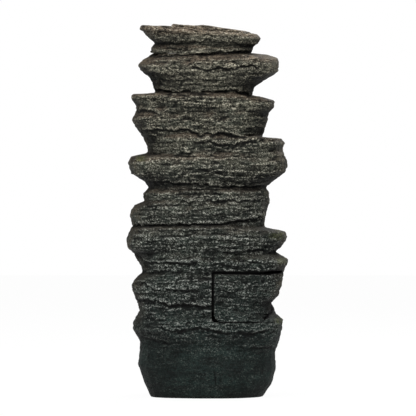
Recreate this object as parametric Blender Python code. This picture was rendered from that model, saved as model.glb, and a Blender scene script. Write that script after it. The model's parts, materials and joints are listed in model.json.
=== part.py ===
"""Garden fountain: a hollow tower moulded as a pile of slate slabs, one metre tall.

Water rises through a hose from a pump in the base, wells up on the top slab and falls from pool to
pool down the front. A loose door at the back reaches the pump.

Frame: metres, +Z up, the origin under the middle of the base. The water falls on the -Y side and
the door is on the +Y side. "Left" and "right" are as seen from the back, so left is +X.
"""

import math
from collections import namedtuple

import bmesh
import bpy
import numpy as np
from mathutils import Matrix, Vector

TOUCH = 0.0003  # gap left between two faces that touch

TOWER_WIDTH = 0.436
TOWER_DEPTH = 0.350

# The thicknesses of the moulded rock's slabs, from the ground up
PLINTH_THICKNESS = 0.140
BASIN_THICKNESS = 0.070
STEP_THICKNESS = 0.050
SHELF_5_THICKNESS = 0.060
COURSE_5_THICKNESS = 0.070
SHELF_4_THICKNESS = 0.060
COURSE_4_THICKNESS = 0.055
SHELF_3_THICKNESS = 0.045
COURSE_3_THICKNESS = 0.100
SHELF_2_THICKNESS = 0.045
COURSE_2_THICKNESS = 0.075
SHELF_1_THICKNESS = 0.040
COURSE_1_THICKNESS = 0.111
TOP_THICKNESS = 0.073
CROWN_RISE = 0.0057  # from the top slab to the highest point of the crown stone
SLABS = {
    "plinth": PLINTH_THICKNESS,
    "basin": BASIN_THICKNESS,
    "step": STEP_THICKNESS,
    "shelf_5": SHELF_5_THICKNESS,
    "course_5": COURSE_5_THICKNESS,
    "shelf_4": SHELF_4_THICKNESS,
    "course_4": COURSE_4_THICKNESS,
    "shelf_3": SHELF_3_THICKNESS,
    "course_3": COURSE_3_THICKNESS,
    "shelf_2": SHELF_2_THICKNESS,
    "course_2": COURSE_2_THICKNESS,
    "shelf_1": SHELF_1_THICKNESS,
    "course_1": COURSE_1_THICKNESS,
    "top": TOP_THICKNESS,
}

# Each stratum is one outline of the rock. left, right and front are (reach from the centre line,
# height above the slab's foot); rear is a reach alone. A reach is a share of the tower's half width
# or half depth, and a height is a share of the slab's thickness.
Stratum = namedtuple("Stratum", "slab left right rear front")
SHELL_OUTLINES = (
    Stratum("plinth", (0.711, 0.00), (0.683, 0.00), 0.869, (0.857, 0.00)),
    Stratum("plinth", (0.803, 0.34), (0.784, 0.24), 0.937, (0.937, 0.29)),
    Stratum("plinth", (0.862, 0.62), (0.839, 0.53), 0.971, (0.977, 0.57)),
    Stratum("plinth", (0.839, 0.87), (0.830, 0.84), 0.949, (0.960, 0.86)),
    Stratum("basin", (0.835, 0.13), (0.881, 0.13), 0.937, (0.971, 0.14)),
    Stratum("basin", (0.927, 0.63), (0.922, 0.63), 1.000, (1.000, 0.63)),
    Stratum("basin", (0.908, 0.86), (0.927, 0.94), 0.977, (0.983, 0.90)),
    Stratum("step", (0.839, 0.40), (0.839, 0.24), 0.931, (0.491, -0.06)),
    Stratum("step", (0.872, 0.82), (0.784, 0.82), 0.914, (0.480, 0.80)),
    Stratum("shelf_5", (0.908, 0.22), (0.872, 0.22), 0.960, (0.560, 0.20)),
    Stratum("shelf_5", (0.936, 0.57), (0.908, 0.62), 0.983, (0.834, 0.55)),
    Stratum("shelf_5", (0.904, 0.88), (0.927, 1.07), 0.971, (0.869, 0.95)),
    Stratum("course_5", (0.798, 0.19), (0.945, 0.24), 0.931, (0.423, 0.01)),
    Stratum("course_5", (0.812, 0.40), (0.977, 0.47), 0.937, (0.411, 0.46)),
    Stratum("course_5", (0.881, 0.69), (1.000, 0.66), 0.960, (0.503, 0.71)),
    Stratum("course_5", (0.922, 0.94), (0.839, 0.96), 0.909, (0.526, 0.94)),
    Stratum("shelf_4", (0.982, 0.13), (0.904, 0.18), 0.937, (0.663, 0.15)),
    Stratum("shelf_4", (1.000, 0.42), (0.959, 0.45), 0.977, (0.754, 0.43)),
    Stratum("shelf_4", (0.982, 0.75), (0.977, 0.65), 0.971, (0.783, 0.70)),
    Stratum("shelf_4", (0.954, 0.98), (0.940, 0.87), 0.949, (0.777, 0.92)),
    Stratum("course_4", (0.917, 0.15), (0.688, 0.05), 0.880, (0.354, -0.02)),
    Stratum("course_4", (0.954, 0.60), (0.711, 0.49), 0.914, (0.343, 0.55)),
    Stratum("course_4", (0.940, 0.93), (0.711, 0.76), 0.931, (0.446, 0.87)),
    Stratum("shelf_3", (0.904, 0.18), (0.743, 0.07), 0.920, (0.583, 0.11)),
    Stratum("shelf_3", (0.780, 0.40), (0.761, 0.51), 0.914, (0.663, 0.44)),
    Stratum("shelf_3", (0.803, 0.87), (0.748, 0.93), 0.897, (0.686, 0.91)),
    Stratum("course_3", (0.720, 0.10), (0.711, 0.10), 0.840, (0.286, 0.00)),
    Stratum("course_3", (0.784, 0.27), (0.830, 0.32), 0.891, (0.274, 0.30)),
    Stratum("course_3", (0.936, 0.48), (0.959, 0.52), 0.937, (0.343, 0.50)),
    Stratum("course_3", (0.977, 0.75), (0.972, 0.78), 0.949, (0.411, 0.77)),
    Stratum("course_3", (0.945, 0.92), (0.940, 0.97), 0.926, (0.434, 0.95)),
    Stratum("shelf_2", (0.729, 0.04), (0.917, 0.24), 0.863, (0.503, 0.16)),
    Stratum("shelf_2", (0.748, 0.47), (0.945, 0.64), 0.891, (0.577, 0.51)),
    Stratum("shelf_2", (0.784, 0.89), (0.917, 0.91), 0.880, (0.594, 0.91)),
    Stratum("course_2", (0.798, 0.04), (0.661, 0.00), 0.829, (0.217, 0.00)),
    Stratum("course_2", (0.862, 0.28), (0.702, 0.32), 0.857, (0.206, 0.31)),
    Stratum("course_2", (0.936, 0.61), (0.725, 0.61), 0.886, (0.286, 0.61)),
    Stratum("course_2", (0.881, 0.91), (0.743, 0.83), 0.851, (0.309, 0.87)),
    Stratum("shelf_1", (0.885, 0.35), (0.817, 0.10), 0.880, (0.411, 0.20)),
    Stratum("shelf_1", (0.954, 0.78), (0.821, 0.55), 0.891, (0.480, 0.60)),
    Stratum("shelf_1", (0.908, 1.03), (0.693, 0.78), 0.857, (0.491, 0.93)),
    Stratum("course_1", (0.642, 0.03), (0.546, -0.05), 0.749, (0.160, 0.01)),
    Stratum("course_1", (0.670, 0.24), (0.578, 0.17), 0.789, (0.154, 0.23)),
    Stratum("course_1", (0.725, 0.43), (0.706, 0.34), 0.823, (0.240, 0.39)),
    Stratum("course_1", (0.830, 0.59), (0.862, 0.54), 0.863, (0.343, 0.56)),
    Stratum("course_1", (0.849, 0.70), (0.881, 0.78), 0.863, (0.366, 0.74)),
    Stratum("course_1", (0.798, 0.84), (0.862, 0.86), 0.823, (0.331, 0.86)),
    Stratum("course_1", (0.702, 0.95), (0.743, 0.95), 0.766, (0.263, 0.95)),
    Stratum("course_1", (0.661, 1.00), (0.532, 1.00), 0.731, (0.240, 1.00)),
)
TOP_OUTLINES = (
    Stratum("top", (0.693, 0.00), (0.546, 0.00), 0.743, (0.251, 0.00)),
    Stratum("top", (0.702, 0.17), (0.550, 0.12), 0.749, (0.263, 0.15)),
    Stratum("top", (0.642, 0.34), (0.564, 0.23), 0.720, (0.274, 0.29)),
    Stratum("top", (0.752, 0.61), (0.619, 0.36), 0.777, (0.366, 0.45)),
    Stratum("top", (0.832, 0.87), (0.651, 0.53), 0.817, (0.434, 0.61)),
    Stratum("top", (0.817, 1.00), (0.615, 0.66), 0.794, (0.429, 0.73)),
)
ROUND_POINTS = 40  # points round each outline, a multiple of 4
BOXINESS = 3.2  # exponent of the rounded outline: 2 is an ellipse, more is squarer
CORNER_CHIP = 0.06  # share of the radius that is broken off a slab's corners, at most
CHIPS_ROUND = 5  # chipped corners in one turn
CHIP_TURN = 2.4  # radians that the chips turn from one slab to the next
FACET_REACH = 0.0028  # how far the slabs' broken faces stand in or out, at most
FACETS_ROUND = (9, 14)  # faces in one turn, of two sizes
FACET_TURN = 1.9  # radians that the faces turn from one stratum to the next
SMOOTH_SLABS = ("plinth", "basin", "top")  # slabs without broken faces
# How far the foot of a slab bows up at the middle of the back
FOOT_BOWS = {"course_4": 0.010, "course_3": 0.008, "course_2": 0.012, "course_1": 0.010}
SHELL_WALL = 0.006
LEVEL_FRONT = 0.6  # beyond this share of the way to the front, a slab's top is level

# The pools, cut into the fronts of the shelves
Pool = namedtuple("Pool", "slab centre half_width lip_centre")
POOLS = (
    Pool("shelf_1", 0.010, 0.100, -0.035),
    Pool("shelf_2", -0.020, 0.110, 0.040),
    Pool("shelf_3", 0.015, 0.105, -0.040),
    Pool("shelf_4", -0.015, 0.125, 0.045),
    Pool("shelf_5", 0.010, 0.120, 0.000),
)
POOL_DEPTH = 0.016
POOL_FLOOR = 0.010  # thickness of the rock under a pool
POOL_RIM = 0.012
POOL_BACK_MARGIN = 0.008  # from the wall above to the pool
POOL_EDGE_POINTS = 13
LIP_WIDTH = 0.070
LIP_DEPTH = 0.007
BASIN_RIM = 0.016
BASIN_HALF_WIDTH = 0.150
BASIN_BACK_MARGIN = 0.003
HEADROOM = 0.014  # how far a pool's cutter reaches above its slab

# The crown stone's front edge, in shares of the half width and half depth, from right to left,
# and its top, in shares of the half width and of the height from the top slab's seat
CROWN_FRONT = ((-0.541, 0.263), (-0.275, 0.126), (0.000, 0.194), (0.252, 0.103), (0.440, 0.320))
CROWN_TOP = ((-0.550, 0.712), (-0.239, 0.851), (0.096, 0.978), (0.243, 0.928), (0.422, 1.000))

# The top slab's dish and the crown stone on its back rim, with heights above the slab's seat
DISH_FLOOR_RISE = 0.035
DISH_RIM = 0.020
DISH_SLOPE = 0.006  # how much narrower the dish is at its floor
DISH_SHELL = 0.009  # thickness of the dish's floor
CROWN_INSET = 0.007  # from the slab's edge to the stone's back edge
CROWN_BACK_POINTS = 9
CROWN_TAPER = 0.004  # the crown stone's top is this much smaller all round

# The door at the back. Its edge runs from the inner edge along the foot to the heel, slants up to
# the toe, rises at the waist and turns round the corner of the tower.
DOOR_INNER_EDGE = -0.016
DOOR_DROP = 0.005  # from the basin's top down to the door's foot
DOOR_FOOT = PLINTH_THICKNESS + BASIN_THICKNESS - DOOR_DROP
DOOR_HEIGHT = 0.128
DOOR_FOOT_WIDTH = 0.128
DOOR_TOE = 0.026  # how far the toe lies beyond the heel, and above it
DOOR_CORNER_RISE = 0.056  # above this height on the door, it runs round the corner
DOOR_START = 0.035  # the door wraps the tower's side from this depth rearwards
CORD_NOTCH = 0.014
DOOR_TOP_GAP = 0.006
DOOR_SIDE_GAP = 0.0045
DOOR_FOOT_GAP = 0.0012
DOOR_TOP = DOOR_FOOT + DOOR_HEIGHT
DOOR_HEEL = DOOR_INNER_EDGE - DOOR_FOOT_WIDTH
PAST = TOWER_WIDTH  # a cutter's reach, beyond the rock

# The rebate behind the door, and the magnets that hold it
MAGNET_RADIUS = 0.004
MAGNET_LENGTH = 0.0045
MAGNET_FIT = 0.0003
MAGNET_EDGE = 0.0022  # the frame's width beside a magnet's hole
PLATE_LENGTH = 0.002
FRAME_THICKNESS = 0.004
FRAME_LAP = 2 * (MAGNET_RADIUS + MAGNET_FIT + MAGNET_EDGE)
FRAME_SIDE_END = DOOR_HEEL - 0.006  # the frame stops here, short of the tower's side
MAGNETS_AT_TOP = (0.044, 0.104)  # distances from the door's inner edge
MAGNETS_AT_FOOT = (0.059,)

# The reservoir tub in the base
TUB_WALL = 0.004
TUB_FLOOR = 0.006
TUB_FIT = 0.0006
SCREEN_SETBACK = 0.0005  # from the back edge of the basin's mouth
SCREEN_THICKNESS = 0.003
SCREEN_FIT = 0.0008
SCREEN_SLOTS = 9
SLOT_WIDTH = 0.006
SLOT_PITCH = 0.024
SLOT_HEIGHT = 0.070
SLOT_FOOT = 0.020
DRAIN_FROM_REAR = 0.063
DRAIN_X, DRAIN_Y = -0.030, TOWER_DEPTH / 2 - DRAIN_FROM_REAR
DRAIN_RADIUS = 0.008
DRAIN_FLANGE = 0.004
DRAIN_HEAD = 0.004
DRAIN_TAPER = 0.001
DRAIN_TAB_HALF = (0.0015, 0.006)
DRAIN_TAB_HEIGHT = 0.012

# The pump, measured along x and up from the middle of its underside
PUMP_FROM_SIDE = 0.133
PUMP_FROM_REAR = 0.107
PUMP_X, PUMP_Y = PUMP_FROM_SIDE - TOWER_WIDTH / 2, TOWER_DEPTH / 2 - PUMP_FROM_REAR
PUMP_FOOT_HEIGHT = 0.009
PUMP_BACK, PUMP_FRONT = -0.030, 0.018
PUMP_EDGE = 0.003
RUNNING_GAP = 0.0008
SHAFT_RADIUS = 0.0012
SHAFT_FIT = 0.0003
SHAFT_SEAT = 0.0024  # how deep the shaft sits in the housing
ROTOR_RADIUS = 0.0085
ROTOR_GAP = 0.001
WELL_RADIUS = ROTOR_RADIUS + ROTOR_GAP
WELL_END = -0.016
HUB_RADIUS = 0.014
HUB_THICKNESS = 0.002
VANES = 6
VANE_HEIGHT = 0.0085
VANE_THICKNESS = 0.0014
IMPELLER_GAP = 0.0025
CHAMBER_RADIUS = HUB_RADIUS + IMPELLER_GAP
CHAMBER_START = PUMP_FRONT + 0.0025
VOLUTE_WALL = 0.0035
VOLUTE_RADIUS = CHAMBER_RADIUS + VOLUTE_WALL
VOLUTE_END = CHAMBER_START + 2 * RUNNING_GAP + HUB_THICKNESS + VANE_HEIGHT
CAGE_WALL = 0.002
CAGE_CLEARANCE = 0.001
NOTCH_FIT = 0.0006
PUMP_HALF_WIDTH = VOLUTE_RADIUS + CAGE_CLEARANCE + CAGE_WALL
PUMP_HEIGHT = 2 * PUMP_HALF_WIDTH + 0.004
PUMP_AXIS = PUMP_HEIGHT / 2
OUTLET_BORE = 0.0040
OUTLET_WALL = 0.0025
OUTLET_RADIUS = OUTLET_BORE + OUTLET_WALL
OUTLET_SETBACK = 0.0006
OUTLET_X = VOLUTE_END - OUTLET_SETBACK - OUTLET_RADIUS
OUTLET_TOP = PUMP_HEIGHT + 0.010
COVER_THICKNESS = 0.003
COVER_RADIUS = VOLUTE_RADIUS - 0.0005
INLET_HOLES = 5
INLET_HOLE_RADIUS = 0.0028
INLET_CIRCLE = 0.0085
CAGE_LENGTH = 0.038
CAGE_SLOTS = 5
CAGE_SLOT_WIDTH = 0.0026
CAGE_SLOT_PITCH = 0.0062
CAGE_SLOT_MARGIN = 0.0055
DIAL_RADIUS = 0.0095
DIAL_THICKNESS = 0.004
DIAL_PIN_RADIUS = 0.0025
PIN_FIT = 0.0005
DIAL_GRIP = (0.0152, 0.0024, 0.003)  # the grip's length, width and height
GLAND_BORE = 0.0034
GLAND_RADIUS = 0.006
GLAND_COLLAR = 0.003
GLAND_LENGTH = 0.012
GLAND_TIP = 0.001
CUP_RADIUS = 0.009
CUP_STEM = 0.0035
CUP_SKIRT = 0.005  # height of the cup below its stem
CUP_LIP = 0.0015
CUP_INSET = 0.010

# The hose up the inside of the tower and its fittings
BARB_WALL = 0.0022
BARB_RIDGE = 0.0006
BARB_RADIUS = OUTLET_BORE + BARB_WALL
RIDGE_RADIUS = BARB_RADIUS + BARB_RIDGE
BARB_LENGTH = 0.022
HOSE_FIT = 0.0005
HOSE_WALL = 0.0019
HOSE_BORE = RIDGE_RADIUS + HOSE_FIT
HOSE_RADIUS = HOSE_BORE + HOSE_WALL
HOSE_SIDES = 10
HOSE_BEND_STEPS = 12
HOSE_STRAIGHT_UP = 0.085  # how far the hose rises straight from the pump
HOSE_SETTLED = 0.420  # above this height the hose is straight under the spout
SOCKET_WALL = 0.0022
SOCKET_OVERLAP = OUTLET_TOP - PUMP_HEIGHT
SOCKET_SHOULDER = 0.002
SPOUT_X, SPOUT_Y = 0.015, 0.075
SPOUT_THREAD_RADIUS = BARB_RADIUS + 0.0023
SPOUT_FLANGE_RADIUS = SPOUT_THREAD_RADIUS + 0.0075
SPOUT_FLANGE = 0.003
SPOUT_THREAD = 0.026
NUT_RADIUS = SPOUT_THREAD_RADIUS + 0.005
NUT_THICKNESS = 0.006
NUT_FIT = 0.0006
CLAMP_THICKNESS = 0.001
CLAMP_WIDTH = 0.008
CLAMP_SCREW = 0.006
CLIP_SLABS = ("course_4", "course_2")  # the necks that the clips reach across to
CLIP_RISE = 0.004
CLIP_WALL = 0.0025
CLIP_HALF_HEIGHT = 0.005

SMOOTH_EDGE = math.radians(35)


# Materials

def material(name, colour, roughness, metallic=0.0):
    made = bpy.data.materials.new(name)
    made.use_nodes = True
    shader = made.node_tree.nodes["Principled BSDF"]
    shader.inputs["Base Color"].default_value = (*colour, 1.0)
    shader.inputs["Roughness"].default_value = roughness
    shader.inputs["Metallic"].default_value = metallic
    return made


def make_materials():
    return {
        "rock": material("cast_rock", (0.070, 0.068, 0.055), 0.85),
        "tub": material("tub_laminate", (0.045, 0.047, 0.045), 0.60),
        "plastic": material("pump_plastic", (0.015, 0.015, 0.017), 0.40),
        "grey": material("grey_plastic", (0.250, 0.260, 0.270), 0.45),
        "rubber": material("rubber", (0.020, 0.020, 0.020), 0.75),
        "hose": material("clear_hose", (0.620, 0.660, 0.640), 0.25),
        "steel": material("stainless_steel", (0.600, 0.600, 0.590), 0.30, 1.0),
        "ferrite": material("ferrite", (0.040, 0.038, 0.038), 0.50),
    }


# Meshes

def object_from(name, bm, finish, smooth=True):
    """Makes bm an object, with its faces turned outwards."""
    bmesh.ops.recalc_face_normals(bm, faces=bm.faces)
    mesh = bpy.data.meshes.new(name)
    bm.to_mesh(mesh)
    bm.free()
    if smooth:
        mesh.shade_smooth()
        mesh.set_sharp_from_angle(angle=SMOOTH_EDGE)
    if finish is not None:
        mesh.materials.append(finish)
    obj = bpy.data.objects.new(name, mesh)
    bpy.context.scene.collection.objects.link(obj)
    return obj


def cutter_from(name, bm):
    cutter = object_from(name, bm, None, smooth=False)
    cutter.hide_render = True
    cutter.display_type = "WIRE"
    return cutter


def cut(obj, *tools, operation="DIFFERENCE"):
    for tool in tools:
        boolean = obj.modifiers.new(tool.name, "BOOLEAN")
        boolean.operation = operation
        boolean.object = tool
        boolean.solver = "EXACT"
    return obj


def skin(bm, rows, closed):
    """Triangles between rows of vertices, with every diagonal the same way round.

    Two skins over the same angles then stay parallel, however much their quads are warped.
    """
    for lower, upper in zip(rows, rows[1:]):
        count = len(lower) if closed else len(lower) - 1
        for i in range(count):
            j = (i + 1) % len(lower)
            bm.faces.new((lower[i], lower[j], upper[j]))
            bm.faces.new((lower[i], upper[j], upper[i]))


def new_rows(bm, rows_of_points):
    return [[bm.verts.new(point) for point in row] for row in rows_of_points]


def prism(outline, low, high, across="Z"):
    """An outline of (x, y) pushed along Z or, across Y, one of (x, z) pushed along Y."""
    bm = bmesh.new()
    ends = []
    for level in (low, high):
        if across == "Z":
            ends.append([(x, y, level) for x, y in outline])
        else:
            ends.append([(x, level, z) for x, z in outline])
    ends = new_rows(bm, ends)
    for i in range(len(outline)):
        bm.faces.new((ends[0][i - 1], ends[0][i], ends[1][i], ends[1][i - 1]))
    for end in ends:
        bm.faces.new(end)
    return bm


def block(x, y, z):
    """A box from its three (low, high) pairs."""
    corners = [(x[0], y[0]), (x[1], y[0]), (x[1], y[1]), (x[0], y[1])]
    return prism(corners, z[0], z[1])


def turned(profile, sides=20):
    """A closed profile of (radius, height) turned about Z; a radius of 0 lies on the axis."""
    bm = bmesh.new()
    points = [bm.verts.new((radius, 0.0, height)) for radius, height in profile]
    edges = []
    for start, end in zip(points, points[1:] + points[:1]):
        if start.co.x > 0 or end.co.x > 0:
            edges.append(bm.edges.new((start, end)))
    bmesh.ops.spin(
        bm, geom=points + edges, cent=(0, 0, 0), axis=(0, 0, 1), angle=2 * math.pi, steps=sides
    )
    bmesh.ops.remove_doubles(bm, verts=bm.verts, dist=1e-6)
    return bm


def rod(radius, low, high, sides=20):
    return turned(((0, low), (radius, low), (radius, high), (0, high)), sides)


def pipe(radius, bore, low, high, sides=20):
    return turned(((bore, low), (radius, low), (radius, high), (bore, high)), sides)


def turned_along_x(bm):
    """Lays a shape turned about Z along +X."""
    bm.transform(Matrix.Rotation(math.pi / 2, 4, "Y"))
    return bm


def moved(bm, x, y, z):
    bm.transform(Matrix.Translation((x, y, z)))
    return bm


# The rock's outlines

def slab_foot(slab):
    """The height of a slab's foot, on the pile of the slabs below it."""
    names = list(SLABS)
    pile = sum(SLABS[name] for name in names[: names.index(slab)])
    return pile + TOUCH if slab == "top" else pile


def placed(outlines):
    """The strata with their reaches and their heights above the ground in place of their shares."""
    strata = []
    for outline in outlines:
        foot, thickness = slab_foot(outline.slab), SLABS[outline.slab]
        ends = {"rear": outline.rear * TOWER_DEPTH / 2}
        for end, size in (("left", TOWER_WIDTH), ("right", TOWER_WIDTH), ("front", TOWER_DEPTH)):
            reach, share = getattr(outline, end)
            ends[end] = (reach * size / 2, foot + share * thickness)
        strata.append(outline._replace(**ends))
    return strata


SHELL_STRATA = placed(SHELL_OUTLINES)
TOP_STRATA = placed(TOP_OUTLINES)
TOP_SEAT = slab_foot("top")
DISH_FLOOR = TOP_SEAT + DISH_FLOOR_RISE


class Surface:
    """A tall surface as rows of points round the axis: a radius and a height for each angle."""

    def __init__(self, angles, radii, heights):
        self.angles = angles
        self.radii = radii
        self.heights = heights

    def inward(self, distance):
        return Surface(self.angles, self.radii - distance, self.heights)

    def rows(self, last=None):
        """The rows of points, from the lowest row to the row numbered last."""
        found = []
        for radii, heights in zip(self.radii, self.heights):
            found.append([at(r, a, z) for r, a, z in zip(radii, self.angles, heights)])
        return found if last is None else found[: last + 1]

    def half_rows(self, side):
        """The rows of the rear or front half, with both ends on that side of the seam."""
        count = len(self.angles) // 2
        start, seam = (0, TOUCH / 2) if side == "rear" else (count, -TOUCH / 2)
        found = []
        for row in self.rows():
            half = [row[(start + i) % len(row)] for i in range(count + 1)]
            half[0].y = seam
            half[-1].y = seam
            found.append(half)
        return found

    def depth(self, x, height):
        """The y at which the rear half lies at a place seen from behind."""
        count = len(self.angles) // 2
        xs, ys = [], []
        for turn in range(count + 1):
            radius = np.interp(height, self.heights[:, turn], self.radii[:, turn])
            xs.append(radius * math.cos(self.angles[turn]))
            ys.append(radius * math.sin(self.angles[turn]))
        return float(np.interp(x, xs[::-1], ys[::-1]))

    def depth_of_row(self, row, x):
        """The y at which a row's rear half lies at an x."""
        points = self.rows()[row][: len(self.angles) // 2 + 1]
        return float(np.interp(x, [p.x for p in points[::-1]], [p.y for p in points[::-1]]))

    def depths_round(self, x, height, radius):
        """The least and the greatest depth in a round spot."""
        turns = [2 * math.pi * i / 8 for i in range(8)]
        depths = [self.depth(x, height)]
        for turn in turns:
            depths.append(self.depth(x + radius * math.cos(turn), height + radius * math.sin(turn)))
        return min(depths), max(depths)


def at(radius, angle, height):
    return Vector((radius * math.cos(angle), radius * math.sin(angle), height))


def rock_surface(strata):
    """The outside of a pile of strata."""
    angles = [2 * math.pi * i / ROUND_POINTS for i in range(ROUND_POINTS)]
    slabs = list(SLABS)
    radii, heights = [], []
    for level, stratum in enumerate(strata):
        slab_index = slabs.index(stratum.slab)
        row = [outline_radius(stratum, slab_index, angle) for angle in angles]
        if stratum.slab not in SMOOTH_SLABS:
            row = [radius + facet(level, stratum.slab, a) for radius, a in zip(row, angles)]
        radii.append(row)
        heights.append([outline_height(stratum, a, r) for a, r in zip(angles, row)])
    return Surface(angles, np.array(radii), np.array(heights))


def outline_radius(stratum, slab_index, angle):
    """Distance from the axis to a stratum's rounded, chipped outline at an angle."""
    across, along = math.cos(angle), math.sin(angle)
    reach_x = stratum.left[0] if across >= 0 else stratum.right[0]
    reach_y = stratum.rear if along >= 0 else stratum.front[0]
    total = abs(across / reach_x) ** BOXINESS + abs(along / reach_y) ** BOXINESS
    wave = 0.5 + 0.5 * math.sin(CHIPS_ROUND * angle + CHIP_TURN * (slab_index + 1))
    chip = CORNER_CHIP * abs(math.sin(2 * angle)) * wave
    return total ** (-1 / BOXINESS) * (1 - chip)


def facet(level, slab, angle):
    """How far a broken face stands out. The sides and the rims of the pools have none."""
    along = math.sin(angle)
    if along < 0 and slab.startswith("shelf"):
        return 0.0
    waves = [
        math.sin(count * angle + FACET_TURN * level * order)
        for order, count in enumerate(FACETS_ROUND, 1)
    ]
    return FACET_REACH * abs(along) * sum(waves) / len(waves)


def foot_bow(slab, share):
    """The bow of the back at a share of the way from a slab's foot to the next slab's foot."""
    names = list(SLABS)
    above = names[min(names.index(slab) + 1, len(names) - 1)]
    return (1 - share) * FOOT_BOWS.get(slab, 0.0) + share * FOOT_BOWS.get(above, 0.0)


def outline_height(stratum, angle, radius):
    """A stratum leans from its left height to its right height, bows up at the back's middle and is
    level at the front.
    """
    left_reach, left_height = stratum.left
    right_reach, right_height = stratum.right
    share = (radius * math.cos(angle) + right_reach) / (left_reach + right_reach)
    leaning = right_height + share * (left_height - right_height)
    share = (leaning - slab_foot(stratum.slab)) / SLABS[stratum.slab]
    middle = max(0.0, math.sin(angle)) ** 2
    leaning += middle * foot_bow(stratum.slab, min(1.0, max(0.0, share)))
    level = frontness(angle)
    level = level * level * (3 - 2 * level)
    return leaning + level * (stratum.front[1] - leaning)


def frontness(angle):
    """How far an angle is towards the front: 0 at the sides and the rear, 1 across the front."""
    return min(1.0, max(0.0, -math.sin(angle)) / LEVEL_FRONT)


def cavity_surface(rock, solid_above):
    """The inside of the tower: a wall's thickness in from the rock, also above and below a ledge.

    It has half as many points round as the rock. Above the stratum solid_above, the front keeps
    solid rock round its pools.
    """
    turns = range(0, ROUND_POINTS, 2)
    radii = np.empty((len(rock.heights), len(turns)))
    for column, turn in enumerate(turns):
        for level in range(len(rock.heights)):
            reach = SHELL_WALL
            if level > solid_above:
                reach += frontness(rock.angles[turn]) * (POOL_DEPTH + POOL_FLOOR - SHELL_WALL)
            centre = rock.heights[level][turn]
            near = np.linspace(centre - reach, centre + reach, 15)
            beside = np.interp(near, rock.heights[:, turn], rock.radii[:, turn])
            radii[level][column] = beside.min() - SHELL_WALL
    angles = [rock.angles[turn] for turn in turns]
    return Surface(angles, radii, rock.heights[:, ::2])


def slab_top(strata, slab):
    """The number of a slab's highest stratum."""
    return max(i for i, stratum in enumerate(strata) if stratum.slab == slab)


def half_shell(outer, inner, side):
    """One half of a hollow pile, closed by flat faces at the seam, the foot and the seat."""
    bm = bmesh.new()
    outside = new_rows(bm, outer.half_rows(side))
    inside = new_rows(bm, inner.half_rows(side))
    skin(bm, outside, closed=False)
    skin(bm, inside, closed=False)
    for end in (0, -1):
        bm.faces.new(outside[end] + inside[end][::-1])
        seam = [row[end] for row in outside] + [row[end] for row in reversed(inside)]
        bm.faces.new(seam)
    return bm


# The shells

def pool_outline(rock, level, rim, back, centre, half_width):
    """A pool's plan: the slab's front outline less a rim, straight across at the back."""
    count = len(rock.angles) // 2
    front = [at(r - rim, a, 0.0) for r, a in zip(rock.radii[level][count:], rock.angles[count:])]
    xs = [point.x for point in front]
    ys = [point.y for point in front]
    outline = []
    for x in np.linspace(centre - half_width, centre + half_width, POOL_EDGE_POINTS):
        outline.append((float(x), min(float(np.interp(x, xs, ys)), back - rim)))
    return outline + [(centre + half_width, back), (centre - half_width, back)]


def pool_cutters(rock):
    """A recess and its spill lip for each shelf."""
    cutters = []
    for pool in POOLS:
        level = slab_top(SHELL_STRATA, pool.slab)
        front_reach, top = SHELL_STRATA[level].front
        back = -(SHELL_STRATA[level + 1].front[0] + POOL_BACK_MARGIN)
        outline = pool_outline(rock, level, POOL_RIM, back, pool.centre, pool.half_width)
        floor = top - POOL_DEPTH
        cutters.append(cutter_from(f"cut_{pool.slab}_pool", prism(outline, floor, top + HEADROOM)))
        lip_x = (pool.lip_centre - LIP_WIDTH / 2, pool.lip_centre + LIP_WIDTH / 2)
        lip_y = (-front_reach - HEADROOM, back - POOL_RIM)
        lip_z = (top - LIP_DEPTH, top + HEADROOM)
        cutters.append(cutter_from(f"cut_{pool.slab}_lip", block(lip_x, lip_y, lip_z)))
    return cutters


def basin_back(level):
    """The back edge of the basin's mouth, in front of the wall above the basin's slab."""
    return -(SHELL_STRATA[level + 1].front[0] + BASIN_BACK_MARGIN)


def basin_cutter(rock):
    level = slab_top(SHELL_STRATA, "basin")
    top = SHELL_STRATA[level].front[1]
    low = SHELL_STRATA[level - 2].front[1]
    outline = pool_outline(rock, level, BASIN_RIM, basin_back(level), 0.0, BASIN_HALF_WIDTH)
    return cutter_from("cut_basin_mouth", prism(outline, low, top + HEADROOM))


def door_outline(top, inner, foot, notch):
    """The door's edge seen from behind; the three margins grow it into its opening."""
    inner_edge = DOOR_INNER_EDGE + inner
    low = DOOR_FOOT - foot
    waist = DOOR_HEEL - DOOR_TOE - foot
    outline = [
        (inner_edge, DOOR_TOP + top),
        (-PAST, DOOR_TOP + top),
        (-PAST, low + DOOR_CORNER_RISE),
        (waist, low + DOOR_CORNER_RISE),
        (waist, low + DOOR_TOE),
        (DOOR_HEEL - foot, low),
    ]
    if notch:
        outline += [(inner_edge - notch, low), (inner_edge, low + notch)]
    else:
        outline.append((inner_edge, low))
    return outline


def make_shells(rock, cavity, finishes):
    rear = object_from("rear_shell", half_shell(rock, cavity, "rear"), finishes["rock"])
    opening = prism(
        door_outline(DOOR_TOP_GAP, DOOR_SIDE_GAP, DOOR_FOOT_GAP, 0.0),
        DOOR_START - DOOR_FOOT_GAP, PAST, across="Y",
    )
    cut(rear, cutter_from("cut_door_opening", opening))
    front = object_from("front_shell", half_shell(rock, cavity, "front"), finishes["rock"])
    cut(front, *pool_cutters(rock), basin_cutter(rock))


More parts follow.
